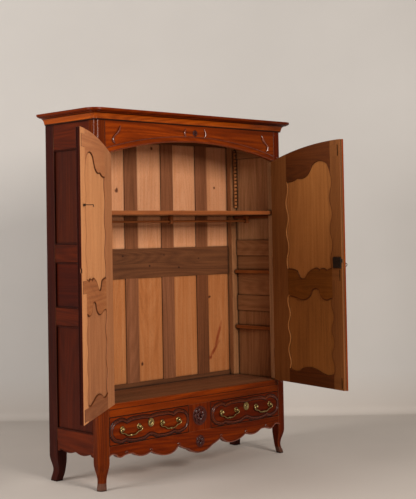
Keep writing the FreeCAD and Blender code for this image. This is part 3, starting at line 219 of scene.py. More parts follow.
# The woods: each has its finish, the strength of its figure, how much its boards differ in tone, and its
# colours.
WOODS = {
    # French-polished cherry, rubbed and waxed: a thin clear coat over deep red-brown wood with dark lines.
    "polished": ("front", 0.32, 0.12, "2E0E01 702803 933C06 C56811"),
    # The same polish on posts, drawers and apron, where it lies thicker and darker.
    "polished_deep": ("front", 0.3, 0.12, "250801 5D1C02 7C2E03 A64F0B"),
    # Right drawer and right post: a darker copy of the polish, as painted shade where the light falls off to the
    # right.
    "polished_dark": ("front", 0.3, 0.12, "1C0401 4A1301 632002 853A06"),
    # The same cherry on the sides, where the polish has gone dark.
    "polished_side": ("side", 0.24, 0.14, "1D0502 411204 541C07 712E10"),
    # The upper panel of the sides, where the polish has greyed.
    "side_top": ("side", 0.24, 0.14, "1D0604 411507 54210C 713518"),
    # The back posts' outer faces, almost black.
    "side_post": ("side", 0.24, 0.14, "150302 320B04 411307 58220E"),
    # The middle panel of the sides.
    "side_middle": ("side", 0.24, 0.14, "1A0402 3C0E03 4E1705 69270B"),
    # The rails of the sides, a little redder.
    "rubbed_side": ("side", 0.34, 0.14, "220702 4C1704 612207 833610"),
    # Carved and moulded cherry: the same polish, left glossier in relief.
    "carved": ("moulding", 0.3, 0.08, "2C0E05 6E2A0C 8E4016 BA6A30"),
    # Rims of the drawer fields, darker and less glossy.
    "carved_rim": ("rim", 0.3, 0.08, "1D0702 4F1A05 672A0B 88481C"),
    # Carving in the round, its colour made almost black as painted shade of its hollows and sunk field.
    "carved_deep": ("carving", 0.3, 0.04, "1C0602 451105 5F1D0A 893E1B"),
    # Near-black: painted shade in the narrow grooves beside the mouldings, on the drawer fronts' borders and in the
    # cornice, and black wax at the front rails' joints.
    "quirk": ("wax", 0.1, 0.04, "120402 220903 3A1408"),
    # The posts' polish, kept bright by handling.
    "polished_post": ("post", 0.3, 0.08, "1F0802 541C03 722E05 9A530E"),
    # Bare, scuffed wood at the toes of the front feet.
    "toe": ("scuffed", 0.3, 0.05, "2F170D 5C3B2E 7C5E53"),
    # The flat band of the cornice, where light has bleached the polish to orange.
    "bleached": ("faded", 0.36, 0.08, "3A1502 8A3A08 B0520F DC8428"),
    # Polished cherry a little paler on its softened edges: rubbed wear, and a painted highlight where the edges catch
    # the light.
    "worn": ("rubbed", 0.3, 0.1, "48190A 8E4216 BE7236"),
    # Unpolished cherry of the left door's inner face, mellowed to honey.
    "honey": ("left door", 0.18, 0.06, "945B35 C18152 D59665 EBB184"),
    # Its lower panel and hinge stile, from a browner board.
    "honey_low": ("left door", 0.2, 0.06, "7D492A A46942 B47A53 C7916C"),
    # Its rails, of slightly darker boards; the same wood gives the lit beads along its hinge side as painted light.
    "amber": ("left rails", 0.34, 0.06, "6A3B22 975B35 AB6E42 C28559"),
    # The left door's top rail, paler.
    "amber_high": ("left rails", 0.34, 0.06, "734329 A4663F BA7B4E D29569"),
    # The left door's bottom rail, darker as painted shade.
    "amber_low": ("left rails", 0.34, 0.06, "582F1B 7F4A2B 905A36 A36E4A"),
    # The right door's inner face: the same wood, waxed a browner tone.
    "tawny": ("right door", 0.18, 0.06, "6F401A 945B28 A56A33 BE8349"),
    # Its hinge stile, the darkest.
    "tawny_low": ("right door", 0.2, 0.06, "5F3516 804C23 8F592C A56E40"),
    # Its upper panel, the palest board; the same pale wood gives the lit beads along the hinge side as painted light.
    "tawny_high": ("right door", 0.18, 0.06, "804C23 AB6C35 BE7D42 DA9B5F"),
    # Its rails, distinctly darker; the same dark wood gives both doors' shaded inner beads as painted shade.
    "umber": ("right rails", 0.34, 0.08, "351805 5B2B09 6B350E 844A1A"),
    # The middle rail, lighter than the others.
    "umber_high": ("right rails", 0.34, 0.08, "442409 713E0F 854A16 A36625"),
    # Dry poplar boards of the upper back panels: pale and a little pink, knotty, planed by hand.
    "pale_board": ("panel", 0.2, 0.08, "A36840 C98A5F DAA078 ECBC99"),
    # The lower back panels and the toothed racks, more orange.
    "orange_board": ("panel", 0.22, 0.06, "8B4F25 B06C3B BE7F4F D09A70"),
    # Dry walnut muntins of the back, brown with age.
    "dark_board": ("back", 0.28, 0.14, "4C2A15 7E4C2E 975F3F B27A54"),
    # The floor boards, browner still.
    "floor_board": ("back", 0.28, 0.14, "442612 724629 885739 A1704C"),
    # The darkest muntin.
    "shade_board": ("back", 0.28, 0.14, "3E1F0C 683A1E 7D492B 935F3A"),
    # The rails of the back, darker and more strongly figured.
    "rail_board": ("back", 0.34, 0.06, "371C0D 62391F 764829 926141"),
    # Inner faces of posts and sides, and the top boards: dry, unpolished cherry.
    "dry_board": ("dry", 0.24, 0.14, "613B24 9A6842 B58056 D5A476"),
    # The greyer dry wood of the right side and post.
    "grey_board": ("dry", 0.24, 0.14, "6C4730 AA7C55 C8986E EBC295"),
    # Shelf edge, cleats, rod and brackets: cleaner orange poplar.
    "clean_board": ("clean", 0.3, 0.06, "5E2C0D 87481F 9C592A B27344"),
}
GRAIN = {"X": (0, 0, 0), "Y": (0, 0, -90), "Z": (0, 90, 0)}
wood_cache = {}


def wood(kind, axis="X", place="carcase", marks=None):
    """A wood finish whose grain runs along an axis of the carcase or of a door."""
    key = (kind, axis, place, marks)
    if key in wood_cache:
        return wood_cache[key]
    finish, figure, differ, colours = WOODS[kind]
    timber, places, (low, high), coat, gloss, depth = FINISHES[finish]
    material, tree = new_material(f"{kind}_{timber}_{place}_{axis.lower()}")
    spot = own_place(tree)
    square = add(tree, "Mapping", None,
                 {"Vector": spot, "Rotation": (0, 0, math.radians(-TURNS[place]))}).outputs[0]
    along = add(tree, "Mapping", None,
                {"Vector": square, "Rotation": tuple(math.radians(a) for a in GRAIN[axis])}).outputs[0]
    board = add(tree, "Attribute", {"attribute_name": "board"}).outputs["Fac"]
    grain = vectors(tree, "ADD", along, scaled(tree, (3.1, 1.7, 2.3), board))

    # Growth rings cut flat: contour lines of a slow wander, 15 to 25 mm apart, which is as coarse as
    # they need to be to show from across a room.
    wander = scaled_noise(tree, grain, (0.5, 5.2, 5.2), 1.2, 0.45)
    rings = arithmetic(tree, "PINGPONG", arithmetic(tree, "MULTIPLY", wander, 24.0), 0.5)
    rings = arithmetic(tree, "MULTIPLY", rings, 2.0)
    # Streaks of tone 20 mm wide and over half a metre long, then fibres about 2 mm wide.
    streaks = scaled_noise(tree, grain, (1.4, 48, 48), 3.0, 0.55)
    fibres = scaled_noise(tree, grain, (14, 520, 520), 2.0, 0.6)
    clouds = scaled_noise(tree, grain, (1.6, 3.5, 3.5), 2.0, 0.5)
    value = arithmetic(tree, "MULTIPLY_ADD", rings, figure * 0.5, 0.02)
    value = arithmetic(tree, "MULTIPLY_ADD", streaks, 0.55, value)
    value = arithmetic(tree, "MULTIPLY_ADD", clouds, 0.35, value)
    value = arithmetic(tree, "MULTIPLY_ADD", fibres, 0.22, value)
    value = arithmetic(tree, "SUBTRACT", value, 0.22 + figure * 0.18)
    colour = ramp(tree, value, tuple(zip(places, colours.split())))

    # Boards differ in tone, each by its own number.
    dice = add(tree, "TexWhiteNoise", {"noise_dimensions": "1D"}, {"W": board}).outputs["Value"]
    tone = arithmetic(tree, "MULTIPLY_ADD", dice, 2 * differ, 1 - differ)
    tint = scaled(tree, colour, tone)

    # Pores are short dark dashes, 0.5 mm wide and a few long.
    dashes = scaled_noise(tree, grain, (60, 1400, 1400), 1.0, 0.5)
    pores = carried(tree, dashes, 0.36, 0.42, 0.72)
    tint = scaled(tree, tint, pores)

    # Painted shade: the colour darkens where the surface is hemmed in, in grooves and corners; it stands also for wax
    # and dust gathered there.
    tint = scaled(tree, tint, carried(tree, openness(tree, 0.016), 0.5, 0.95, 0.14))
    if kind in ("polished", "polished_deep", "bleached"):
        # Painted shade: these polishes darken towards the right end, standing in for the light falling off there; the
        # left end keeps its colour.
        across = add(tree, "SeparateXYZ", None, {0: square}).outputs["X"]
        tint = scaled(tree, tint, carried(tree, across, 0.1, 1.05, 1.03, 0.6, "SMOOTHSTEP"))
    if marks:
        tint = marks(tree, square, tint)

    uneven = arithmetic(tree, "ADD", arithmetic(tree, "MULTIPLY", streaks, 0.6),
                        arithmetic(tree, "MULTIPLY", clouds, 0.4))
    relief = arithmetic(tree, "MULTIPLY_ADD", fibres, 0.5, arithmetic(tree, "MULTIPLY", pores, 0.5))
    relief = arithmetic(tree, "MULTIPLY_ADD", clouds, 1.5, relief)
    finish_material(tree, tint, carried(tree, uneven, 0.3, 0.7, high, low), bumped(tree, depth, 0.002, relief),
                    Coat_Weight=coat, Coat_Roughness=0.18, Specular_IOR_Level=gloss, IOR=1.5)
    wood_cache[key] = material
    return material


def knots(spots):
    """Adds dark knots and flames to a board's colour: each is (right, up, half width, half height, lean, core)."""
    def draw(tree, square, colour):
        ragged = scaled_noise(tree, square, (70, 70, 45), 2.0)
        for right, up, wide, tall, lean, core in spots:
            shape = add(tree, "Mapping", {"vector_type": "TEXTURE"},
                        {"Vector": square, "Location": ((right + SHIFT_RIGHT) * MM, 0, up * MM),
                         "Rotation": (0, math.radians(lean), 0), "Scale": (wide * MM, 1000, tall * MM)}).outputs[0]
            length = add(tree, "VectorMath", {"operation": "LENGTH"}, {0: shape}).outputs["Value"]
            reach = arithmetic(tree, "MULTIPLY_ADD", ragged, 1.1, length)
            mask = carried(tree, reach, 1.0, 1.9, way="SMOOTHSTEP")
            shade = vectors(tree, "MULTIPLY_ADD", mask, tuple(1 - part for part in core), core)
            colour = vectors(tree, "MULTIPLY", colour, shade)
        return colour
    return draw


KNOT, FLAME = (0.2, 0.14, 0.12), (0.62, 0.36, 0.28)
PANEL_KNOTS = ((29, 2029, 11, 13, 0, KNOT), (-268, 1749, 13, 16, 20, KNOT), (595, 1779, 9, 9, 0, KNOT),
               (532, 1034, 14, 8, -20, KNOT), (-76, 634, 10, 13, 0, KNOT), (610, 770, 13, 95, 20, FLAME),
               (570, 670, 12, 75, 40, FLAME), (528, 622, 26, 14, 0, FLAME))
RAIL_KNOTS = ((-6, 1262, 9, 7, 0, KNOT), (-230, 1330, 8, 6, 0, KNOT), (250, 1245, 8, 6, 0, KNOT),
              (120, 1330, 6, 5, 0, KNOT), (430, 1300, 7, 5, 0, KNOT))
PANEL_MARKS, RAIL_MARKS = knots(PANEL_KNOTS), knots(RAIL_KNOTS)


def aged_brass():
    """Cast brass, lacquer gone: bright where fingers rub it, brown in the hollows."""
    material, tree = new_material("aged_cast_brass")
    spot = own_place(tree)
    patina = scaled_noise(tree, spot, (60, 60, 60), 4.0, 0.6)
    value = arithmetic(tree, "MULTIPLY_ADD", patina, 0.5, arithmetic(tree, "MULTIPLY", openness(tree, 0.006), 0.55))
    colour = ramp(tree, value, ((0.25, "1A1206"), (0.5, "4E3D1E"), (0.72, "8C7542"), (1.0, "CCB884")))
    rough = arithmetic(tree, "MULTIPLY_ADD", patina, -0.25, 0.42)
    # Fine casting pits about 1 mm across.
    pits = scaled_noise(tree, spot, (900, 900, 900), 2.0)
    finish_material(tree, colour, rough, bumped(tree, 0.2, 0.0005, pits), Metallic=1.0)
    return material


def forged_iron():
    """Forged iron, blackened and waxed, with a little rust in its hollows."""
    material, tree = new_material("forged_iron")
    spot = own_place(tree)
    scale = scaled_noise(tree, spot, (120, 120, 120), 4.0, 0.6)
    colour = ramp(tree, scale, ((0.3, "1E1A18"), (0.55, "39322D"), (0.7, "4C3D33"), (0.85, "6A4630")))
    rough = arithmetic(tree, "MULTIPLY_ADD", scale, 0.4, 0.35)
    # Hammer marks about 8 mm across.
    hammered = scaled_noise(tree, spot, (130, 130, 130), 1.0)
    finish_material(tree, colour, rough, bumped(tree, 0.4, 0.001, hammered), Metallic=0.85)
    return material


def keyhole_dark():
    """The inside of a keyhole: near-black, as painted shade of the unlit hole."""
    material, tree = new_material("keyhole_shadow_wood")
    spot = own_place(tree)
    colour = ramp(tree, scaled_noise(tree, spot, (300, 300, 300), 2.0), ((0.0, "050302"), (1.0, "150C07")))
    finish_material(tree, colour, 0.9, None)
    return material


# ------------------------------------------------------------------ meshes
def stand(name, data):
    """A new object in the scene."""
    thing = bpy.data.objects.new(name, data)
    bpy.context.scene.collection.objects.link(thing)
    return thing


def show_as_is(nodes, material):
    """Gives its material to solids that are shown as they are."""
    for node in nodes:
        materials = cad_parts[node].data.materials
        materials.clear()
        materials.append(material)


def board_number(start, index):
    """A number of its own for each board, from which its grain and its tone follow."""
    return (start + index * 0.618) % 1 * 9 + 0.5


def one_board(bm, number):
    """Marks a whole mesh as one board."""
    board = bm.verts.layers.float.new("board")
    for vert in bm.verts:
        vert[board] = number


def islands(bm):
    """Connected groups of faces, in the order of their first face."""
    bm.faces.index_update()
    seen = set()
    groups = []
    for first in bm.faces:
        if first.index in seen:
            continue
        seen.add(first.index)
        stack, group = [first], []
        while stack:
            face = stack.pop()
            group.append(face)
            for edge in face.edges:
                for other in edge.link_faces:
                    if other.index not in seen:
                        seen.add(other.index)
                        stack.append(other)
        groups.append(group)
    return groups


def part_boards(bm):
    """Parts boards that touch along a whole wall and were merged there: each is closed again."""
    walls = [face for face in bm.faces if all(len(edge.link_faces) > 2 for edge in face.edges)]
    if not walls:
        return
    rims = list({edge for face in walls for edge in face.edges})
    bmesh.ops.delete(bm, geom=walls, context="FACES_ONLY")
    bmesh.ops.split_edges(bm, edges=rims)
    bmesh.ops.holes_fill(bm, edges=[edge for edge in bm.edges if edge.is_boundary], sides=0)
    bmesh.ops.recalc_face_normals(bm, faces=bm.faces)


def long_axis(points):
    """The axis along which a group of points reaches furthest."""
    spans = []
    for index in range(3):
        values = [point[index] for point in points]
        spans.append(max(values) - min(values))
    return "XYZ"[spans.index(max(spans))]


def settle(name, bm, body, materials, smooth=35, replaces=()):
    """Makes a finished piece of a mesh that is already in place."""
    mesh = bpy.data.meshes.new(name)
    bm.to_mesh(mesh)
    bm.free()
    for material in materials:
        mesh.materials.append(material)
    mesh.polygons.foreach_set("use_smooth", [True] * len(mesh.polygons))
    mesh.set_sharp_from_angle(angle=math.radians(smooth))
    piece = stand(name, mesh)
    # Large flat faces lead the shading over the narrow ones of a softened edge.
    flat = piece.modifiers.new("Flat faces first", "WEIGHTED_NORMAL")
    flat.keep_sharp = True
    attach(piece, body)
    if replaces:
        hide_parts(*replaces)
    return piece


def dress(node, place, body, choose, soft=1.2, seed=0, grain=None, marks=None, cuts=(), flush=None):
    """Replaces a wooden node with a copy that has softened edges and a finish on each face.

    Cuts are (axis, place in mm) planes where the finish may change; flush tells which edges stay sharp."""
    bm = bmesh.new()
    bm.from_mesh(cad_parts[node].data)
    bmesh.ops.remove_doubles(bm, verts=bm.verts, dist=1e-5)
    bmesh.ops.dissolve_limit(bm, angle_limit=math.radians(0.5), use_dissolve_boundaries=False,
                             verts=bm.verts, edges=bm.edges, delimit=set())
    part_boards(bm)
    into = FRAMES[place].inverted()
    turn = into.to_3x3()
    board = bm.verts.layers.float.new("board")
    owner = bm.faces.layers.int.new("owner")
    axes = []
    for index, group in enumerate(islands(bm)):
        corners = {vert.index: vert for face in group for vert in face.verts}
        axes.append(grain or long_axis([into @ vert.co for vert in corners.values()]))
        for vert in corners.values():
            vert[board] = board_number(seed * 0.731, index)
        for face in group:
            face[owner] = index
    sharp = [edge for edge in bm.edges if len(edge.link_faces) == 2
             and edge.calc_face_angle(0) > math.radians(32) and edge.is_convex
             and not (flush and flush((into @ ((edge.verts[0].co + edge.verts[1].co) / 2)) / MM))]
    made = bmesh.ops.bevel(bm, geom=sharp, offset=soft * MM, offset_type="OFFSET", segments=2, profile=0.5,
                           affect="EDGES", clamp_overlap=False, material=-1, loop_slide=True)
    bm.faces.index_update()
    worn = {face.index for face in made["faces"] if face.is_valid} if soft > 1 else set()
    if cuts:
        worn_and_lit_mark = bm.faces.layers.int.new("worn")
        for face in bm.faces:
            face[worn_and_lit_mark] = int(face.index in worn)
        for axis, where in cuts:
            point = Vector((0, 0, 0))
            point["XYZ".index(axis)] = where * MM
            across = Vector([float(letter == axis) for letter in "XYZ"])
            bmesh.ops.bisect_plane(bm, geom=bm.verts[:] + bm.edges[:] + bm.faces[:], dist=1e-6,
                                   plane_co=FRAMES[place] @ point, plane_no=FRAMES[place].to_3x3() @ across)
        bm.faces.index_update()
        worn = {face.index for face in bm.faces if face[worn_and_lit_mark]}
        bm.faces.layers.int.remove(worn_and_lit_mark)
    materials = []
    for face in bm.faces:
        kind = choose(turn @ face.normal, (into @ face.calc_center_median()) / MM)
        # Softened edges of polished faces take the paler edge finish: wear, and a painted highlight.
        if face.index in worn and kind.startswith("polished"):
            kind = "worn"
        material = wood(kind, axes[face[owner]], place, marks if kind != "worn" else None)
        if material not in materials:
            materials.append(material)
        face.material_index = materials.index(material)
    bm.faces.layers.int.remove(owner)
    settle(node + "_wood", bm, body, materials, replaces=(node,))


def arc(start, through, end, count=10):
    """Points after the first on the arc from start through a middle point to the end."""
    a, b, c = (complex(*point) for point in (start, through, end))
    turned = (c - a) / (b - a)
    if abs(turned.imag) < 1e-9:
        return [end]
    centre = a - (a - b) * (turned - abs(turned) ** 2) / (2j * turned.imag)
    sweep = cmath.phase((c - centre) / (a - centre))
    middle = cmath.phase((b - centre) / (a - centre))
    if sweep * middle < 0 or abs(middle) > abs(sweep):
        sweep -= math.copysign(2 * math.pi, sweep)
    points = []
    for step in range(1, count + 1):
        spot = centre + (a - centre) * complex(math.cos(sweep * step / count), math.sin(sweep * step / count))
        points.append((spot.real, spot.imag))
    return points


def traced(items, count=10):
    """Points along an outline of corners; an item with a third entry is a point that an arc passes through."""
    points = [items[0]]
    through = None
    for item in items[1:]:
        if len(item) == 3:
            through = item[:2]
            continue
        points += arc(points[-1], through, item, count) if through else [item]
        through = None
    return points


def beside(points, distance, closed=False):
    """The same path, moved to its left by a distance."""
    moved = []
    last = len(points) - 1
    for index, point in enumerate(points):
        before = points[index - 1] if index or closed else point
        after = points[(index + 1) % (last + 1)] if index < last or closed else point
        run = Vector((after[0] - before[0], after[1] - before[1]))
        if run.length == 0:
            moved.append(point)
            continue
        run.normalize()
        moved.append((point[0] - run.y * distance, point[1] + run.x * distance))
    return moved


def mirrored(items):
    """An outline turned over to the other side, in reverse order."""
    return [(-item[0],) + tuple(item[1:]) for item in reversed(items)]


def tubes(name, runs, place, body, material, axis="X", resolution=4, seed=3):
    """Round mouldings along paths: each run is (points in mm, radii in mm, closed)."""
    curve = bpy.data.curves.new(name + "_path", "CURVE")
    curve.dimensions = "3D"
    curve.bevel_depth = MM
    curve.bevel_resolution = resolution
    curve.use_fill_caps = True
    for points, radii, closed in runs:
        spline = curve.splines.new("POLY")
        spline.points.add(len(points) - 1)
        for index, point in enumerate(points):
            spline.points[index].co = (*(Vector(point) * MM), 1)
            spline.points[index].radius = radii[index] if isinstance(radii, list) else radii
        spline.use_cyclic_u = closed
    holder = stand(name + "_path", curve)
    bpy.context.view_layer.update()
    mesh = bpy.data.meshes.new_from_object(holder.evaluated_get(bpy.context.evaluated_depsgraph_get()))
    bpy.data.objects.remove(holder)
    bm = bmesh.new()
    bm.from_mesh(mesh)
    bmesh.ops.remove_doubles(bm, verts=bm.verts, dist=1e-6)
    bmesh.ops.recalc_face_normals(bm, faces=bm.faces)
    board = bm.verts.layers.float.new("board")
    for index, group in enumerate(islands(bm)):
        for face in group:
            for vert in face.verts:
                vert[board] = board_number(seed, index)
    bmesh.ops.transform(bm, matrix=FRAMES[place], verts=bm.verts)
    chosen = material if isinstance(material, bpy.types.Material) else wood(material, axis, place)
    return settle(name, bm, body, [chosen], smooth=60)


def merge(target, parts):
    """Adds small meshes to a larger one."""
    for part in parts:
        mesh = bpy.data.meshes.new("part")
        part.to_mesh(mesh)
        part.free()
        target.from_mesh(mesh)
        bpy.data.meshes.remove(mesh)
    return target


def spun(profile, steps=32):
    """A turned form: (radius, out) points in mm spun about the axis that comes out of the front."""
    bm = bmesh.new()
    verts = [bm.verts.new((radius * MM, -out * MM, 0)) for radius, out in profile]
    edges = [bm.edges.new(pair) for pair in zip(verts, verts[1:])]
    bmesh.ops.spin(bm, geom=verts + edges, cent=(0, 0, 0), axis=(0, 1, 0), angle=2 * math.pi, steps=steps,
                   use_merge=True)
    bmesh.ops.remove_doubles(bm, verts=bm.verts, dist=1e-6)
    bmesh.ops.recalc_face_normals(bm, faces=bm.faces)
    return bm


def moved(bm, matrix):
    """A mesh after a transform."""
    bmesh.ops.transform(bm, matrix=matrix, verts=bm.verts)
    return bm


def at(x, y, z):
    """A shift given in millimetres."""
    return Matrix.Translation(Vector((x, y, z)) * MM)


def on_front(bm, x, z):
    """A mesh carried to its place on the front of the carcase."""
    return moved(bm, FRAMES["carcase"] @ at(x, 0, z))


def petal(length, width, thick):
    """One petal: a ball drawn out from the middle, hollowed along its length."""
    bm = bmesh.new()
    bmesh.ops.create_uvsphere(bm, u_segments=16, v_segments=10, radius=1.0)
    for vert in bm.verts:
        x, y, z = vert.co
        reach = (z + 1) / 2
        belly = 0.55 + 0.65 * math.sin(math.pi * min(1, reach * 0.95))
        groove = 0.35 * math.exp(-(x / 0.28) ** 2)
        vert.co = Vector((x * width * belly, y * thick * (1 - groove), reach * length)) * MM
    return bm


def rosette(radius, petals, thick):
    """A carved flower: two rings of petals about a domed eye, facing the front."""
    bm = bmesh.new()
    parts = []
    for ring, (share, count, turn) in enumerate(((1.0, petals, 0.0), (0.66, petals, 0.5))):
        for index in range(count):
            part = petal(radius * share * 0.86, radius * share * 0.31, thick * (0.8 + 0.3 * ring))
            lift = at(0, -thick * 0.35 * ring, radius * 0.12)
            parts.append(moved(part, Matrix.Rotation((index + turn) * 2 * math.pi / count, 4, "Y") @ lift))
    parts.append(spun([(0, thick * 1.6), (radius * 0.12, thick * 1.45), (radius * 0.2, thick * 0.9),
                       (radius * 0.23, 0)], 20))
    return merge(bm, parts)


# ------------------------------------------------------------------ which face has which finish
def inward(normal, centre):
    """Whether a face of a side looks into the carcase."""
    return normal.x * (-1 if centre.x > 0 else 1) > 0.5


def front_board(normal, centre):
    """Front rails: polished, dry on the back, with black wax at the joints and painted shade in the lower rail's
    groove.
    """
    if normal.y > 0.5:
        return "dry_board"
    seam = abs(centre.x) > JOINT_EDGE or GROOVE_BASE < centre.z < GROOVE_TOP
    return "quirk" if seam and normal.y < -0.5 else "polished"


def low_board(normal, centre):
    """Drawer fronts, centre stile and apron: a darker polish, dry on the back; the drawer fronts' borders near-black
    as painted shadow of their gaps, and the right drawer darker still as painted shade.
    """
    if normal.y > 0.5:
        return "dry_board"
    drawer = abs(centre.x) > STILE_HALF and centre.z > DRAWER_BASE
    if drawer and normal.y < -0.5 and not (DRAWER_SEAMS[0] < abs(centre.x) < DRAWER_SEAMS[1]
                                           and DRAWER_SEAMS[2] < centre.z < DRAWER_SEAMS[3]):
        return "quirk"
    return "polished_dark" if drawer and centre.x > 0 else "polished_deep"


def muntins(normal, centre):
    """Muntins of the back: the lower one on the right is darker."""
    return "shade_board" if centre.x > MUNTIN_EDGE and centre.z < MUNTIN_TOP else "dark_board"


def post_faces(normal, centre):
    """Posts: polished outside, the right front one darker as painted shade, dry towards the inside above the feet."""
    inside = inward(normal, centre)
    if centre.y < POST_SPLIT:
        if centre.z < TOE:
            return "toe"
        if centre.z > DRAWER_BASE and (normal.y > 0.5 or (inside and centre.z > SILL)):
            return "grey_board" if centre.x > 0 else "dry_board"
        return "polished_dark" if centre.x > 0 else "polished_post"
    return "dry_board" if centre.z > DRAWER_BASE and (inside or abs(normal.y) > 0.5) else "side_post"


def cornice_faces(normal, centre):
    """Cornice: a bleached band with painted shade in the groove above it and on the upright faces below it, and a
    dark upper moulding.
    """
    if centre.z < BAND_BASE or BAND_TOP < centre.z < BAND_TOP + BAND_QUIRK:
        return "quirk" if abs(normal.z) < 0.95 else "polished_deep"
    return "bleached" if centre.z < BAND_TOP else "polished_deep"


def panel_faces(normal, centre):
    """Side panels: polished outside, dry inside; the tall upper one on the right is greyer."""
    if inward(normal, centre):
        return "grey_board" if centre.x > 0 and centre.z > GREY_PANEL else "dry_board"
    if centre.z > UPPER_SIDE:
        return "side_top"
    return "side_middle" if centre.z > MIDDLE_SIDE else "polished_side"


def side_faces(normal, centre):
    """Side rails: a redder polish outside, dry inside, dark below the drawers."""
    if inward(normal, centre) and centre.z > DRAWER_BASE:
        return "grey_board" if centre.x > 0 and centre.z > GREY_RAIL else "dry_board"
    return "rubbed_side"


def door_face(inside, low=None):
    """A door's boards: polished outside and on the free edge, bare wood inside."""
    def choose(normal, centre):
        split = WHOLE_EDGE if centre.x > 0 else EDGE_SPLIT
        if abs(normal.x) > 0.5 and abs(centre.x) > FREE_EDGE and centre.y < split:
            return "side_post" if centre.x > 0 else "polished"
        if normal.y < -0.5:
            return "polished"
        return low if low and centre.z < DOOR_MIDDLE else inside
    return choose


def left_rail(normal, centre):
    """The left door's rails, the bottom one darker as painted shade."""
    kind = door_face("amber")(normal, centre)
    if kind != "amber" or DOOR_LOW < centre.z < DOOR_HIGH:
        return kind
    return "amber_low" if centre.z < DOOR_LOW else "amber_high"


def right_rail(normal, centre):
    """The right door's rails: their laps over the lock stile have the stile's tone."""
    if normal.y < -0.5:
        return "polished"
    if abs(centre.x) > LOCK_STILE_EDGE:
        return "tawny_low"
    return "umber_high" if DOOR_LOW < centre.z < DOOR_HIGH else "umber"


def in_lap(middle):
    """Whether an edge lies in the laps of the right door's rails over its lock stile, which are planed flush."""
    return LOCK_STILE_EDGE + 2 < abs(middle.x) < LAP_END and middle.y > LAP_DEPTH


def shelf_faces(normal, centre):
    """Shelf: dry boards with a clean front edge."""
    return "clean_board" if normal.y < -0.5 and centre.y < SHELF_FRONT else "dry_board"


# ------------------------------------------------------------------ outlines shared by carving and mouldings
def arch(gap, count=48):
    """Points along the arch of the frieze, moved outwards by a gap."""
    radius = (OPENING_HALF ** 2 + ARCH_RISE ** 2) / (2 * ARCH_RISE)
    centre = ARCH_SPRING + ARCH_RISE - radius
    return [(x, centre + math.sqrt((radius + gap) ** 2 - x * x))
            for x in (-OPENING_HALF + 2 * OPENING_HALF * step / count for step in range(count + 1))]


APRON_EDGE = [(105, 33), (142, 47, 1), (180, 66), (214, 38, 1), (262, 26), (300, 27, 1), (335, 34), (370, 46, 1),
              (402, 63), (462, 48, 1), (540, 72), (585, 74, 1), (622, 64), (642, 63, 1), (662, 72), (690, 87, 1),
              (716.5, 78)]
FIELD_EDGE = [(0, 53), (50, 60, 1), (105, 59), (150, 57, 1), (184, 46), (214, 61, 1), (250, 57), (303, -2, 1),
              (250, -61), (220, -67, 1), (190, -58), (135, -71, 1), (80, -70), (52, -68, 1), (28, -58)]


def apron_edge():
    """The whole lower edge of the apron, from left to right."""
    lowest = DRAWER_BASE - 137
    right = [(item[0], lowest + item[1]) + tuple(item[2:]) for item in APRON_EDGE]
    return traced(mirrored(right) + [(0, lowest, 1)] + right, 8)


def drawer_field(side):
    """The closed outline of a drawer's raised field."""
    left = mirrored(FIELD_EDGE[1:])
    items = FIELD_EDGE + [(0, -51, 1)] + left + [FIELD_EDGE[0]]
    return [(side * DRAWER_MIDDLE + x, DRAWER_LEVEL + z) for x, z in traced(items, 8)[:-1]]


def waves(across, low, high, way):
    """A gently waving upright edge from low to high."""
    items = []
    step = (high - low) / 6
    for index in range(6):
        items.append((across + way * 11 * (-1) ** index, low + (index + 0.5) * step, 1))
        items.append((across, low + (index + 1) * step))
    return items


TOP_EDGE = [(166, 1795), (225, 1797, 1), (280, 1815), (340, 1812, 1), (385, 1830), (410, 1856, 1), (432, 1888),
            (510, 1914, 1), (585, 1888), (603, 1858, 1), (616, 1822)]
MIDDLE_TOP = [(616, 1236), (590, 1231, 1), (560, 1221), (525, 1234, 1), (492, 1221), (462, 1234, 1), (430, 1229),
              (378, 1203, 1), (345, 1169), (318, 1162, 1), (290, 1170), (277, 1188, 1), (262, 1212),
              (225, 1221, 1), (166, 1225)]
MIDDLE_BASE = [(166, 1055), (215, 1052, 1), (262, 1044), (318, 1034, 1), (364, 1045), (392, 1065, 1), (410, 1097),
               (447, 1110, 1), (484, 1101), (491, 1078, 1), (507, 1058), (540, 1043, 1), (583, 1050),
               (600, 1053, 1), (616, 1055)]
BASE_EDGE = [(616, 583), (580, 571, 1), (546, 568), (512, 576, 1), (478, 585), (385, 603, 1), (295, 587),
             (268, 572, 1), (240, 567), (200, 569, 1), (166, 583)]


def door_openings():
    """Closed outlines of the upper and the lower opening of a door, going round with the frame on the left."""
    upper = ([(166, 1225)] + waves(166, 1225, 1795, -1) + TOP_EDGE[1:]
             + list(reversed([(616, 1236)] + waves(616, 1236, 1822, -1)))[1:] + MIDDLE_TOP[1:])
    lower = ([(166, 583)] + waves(166, 583, 1055, 1) + MIDDLE_BASE[1:]
             + list(reversed([(616, 583)] + waves(616, 583, 1055, 1)))[1:] + BASE_EDGE[1:])
    return [traced(items, 6)[:-1] for items in (upper, lower)]


# ------------------------------------------------------------------ sizes and colours a user can change
class ArmoireSizes(bpy.types.PropertyGroup):
    """Sizes of the dressing."""

    edge_softness: bpy.props.FloatProperty(name="Edge softness", description="Rounding of the boards' edges",
                                           default=0.0012, unit="LENGTH", min=0.0002, max=0.004)
    bead_radius: bpy.props.FloatProperty(name="Bead radius", description="Half the width of the round mouldings",
                                         default=0.003, unit="LENGTH", min=0.001, max=0.008)
    rosette_radius: bpy.props.FloatProperty(name="Rosette radius", description="Carved flower between the drawers",
                                            default=0.053, unit="LENGTH", min=0.02, max=0.07)


class ArmoireColours(bpy.types.PropertyGroup):
    """Colours of the surroundings."""

    floor: bpy.props.FloatVectorProperty(name="Floor", description="Colour of the floor", subtype="COLOR", size=3,
                                         default=linear("BDB5AE"), min=0, max=1)
    wall: bpy.props.FloatVectorProperty(name="Wall", description="Colour of the backdrop", subtype="COLOR", size=3,
                                        default=linear("C1BEBB"), min=0, max=1)


def sizes():
    """The sizes in use."""
    return bpy.context.scene.armoire_sizes


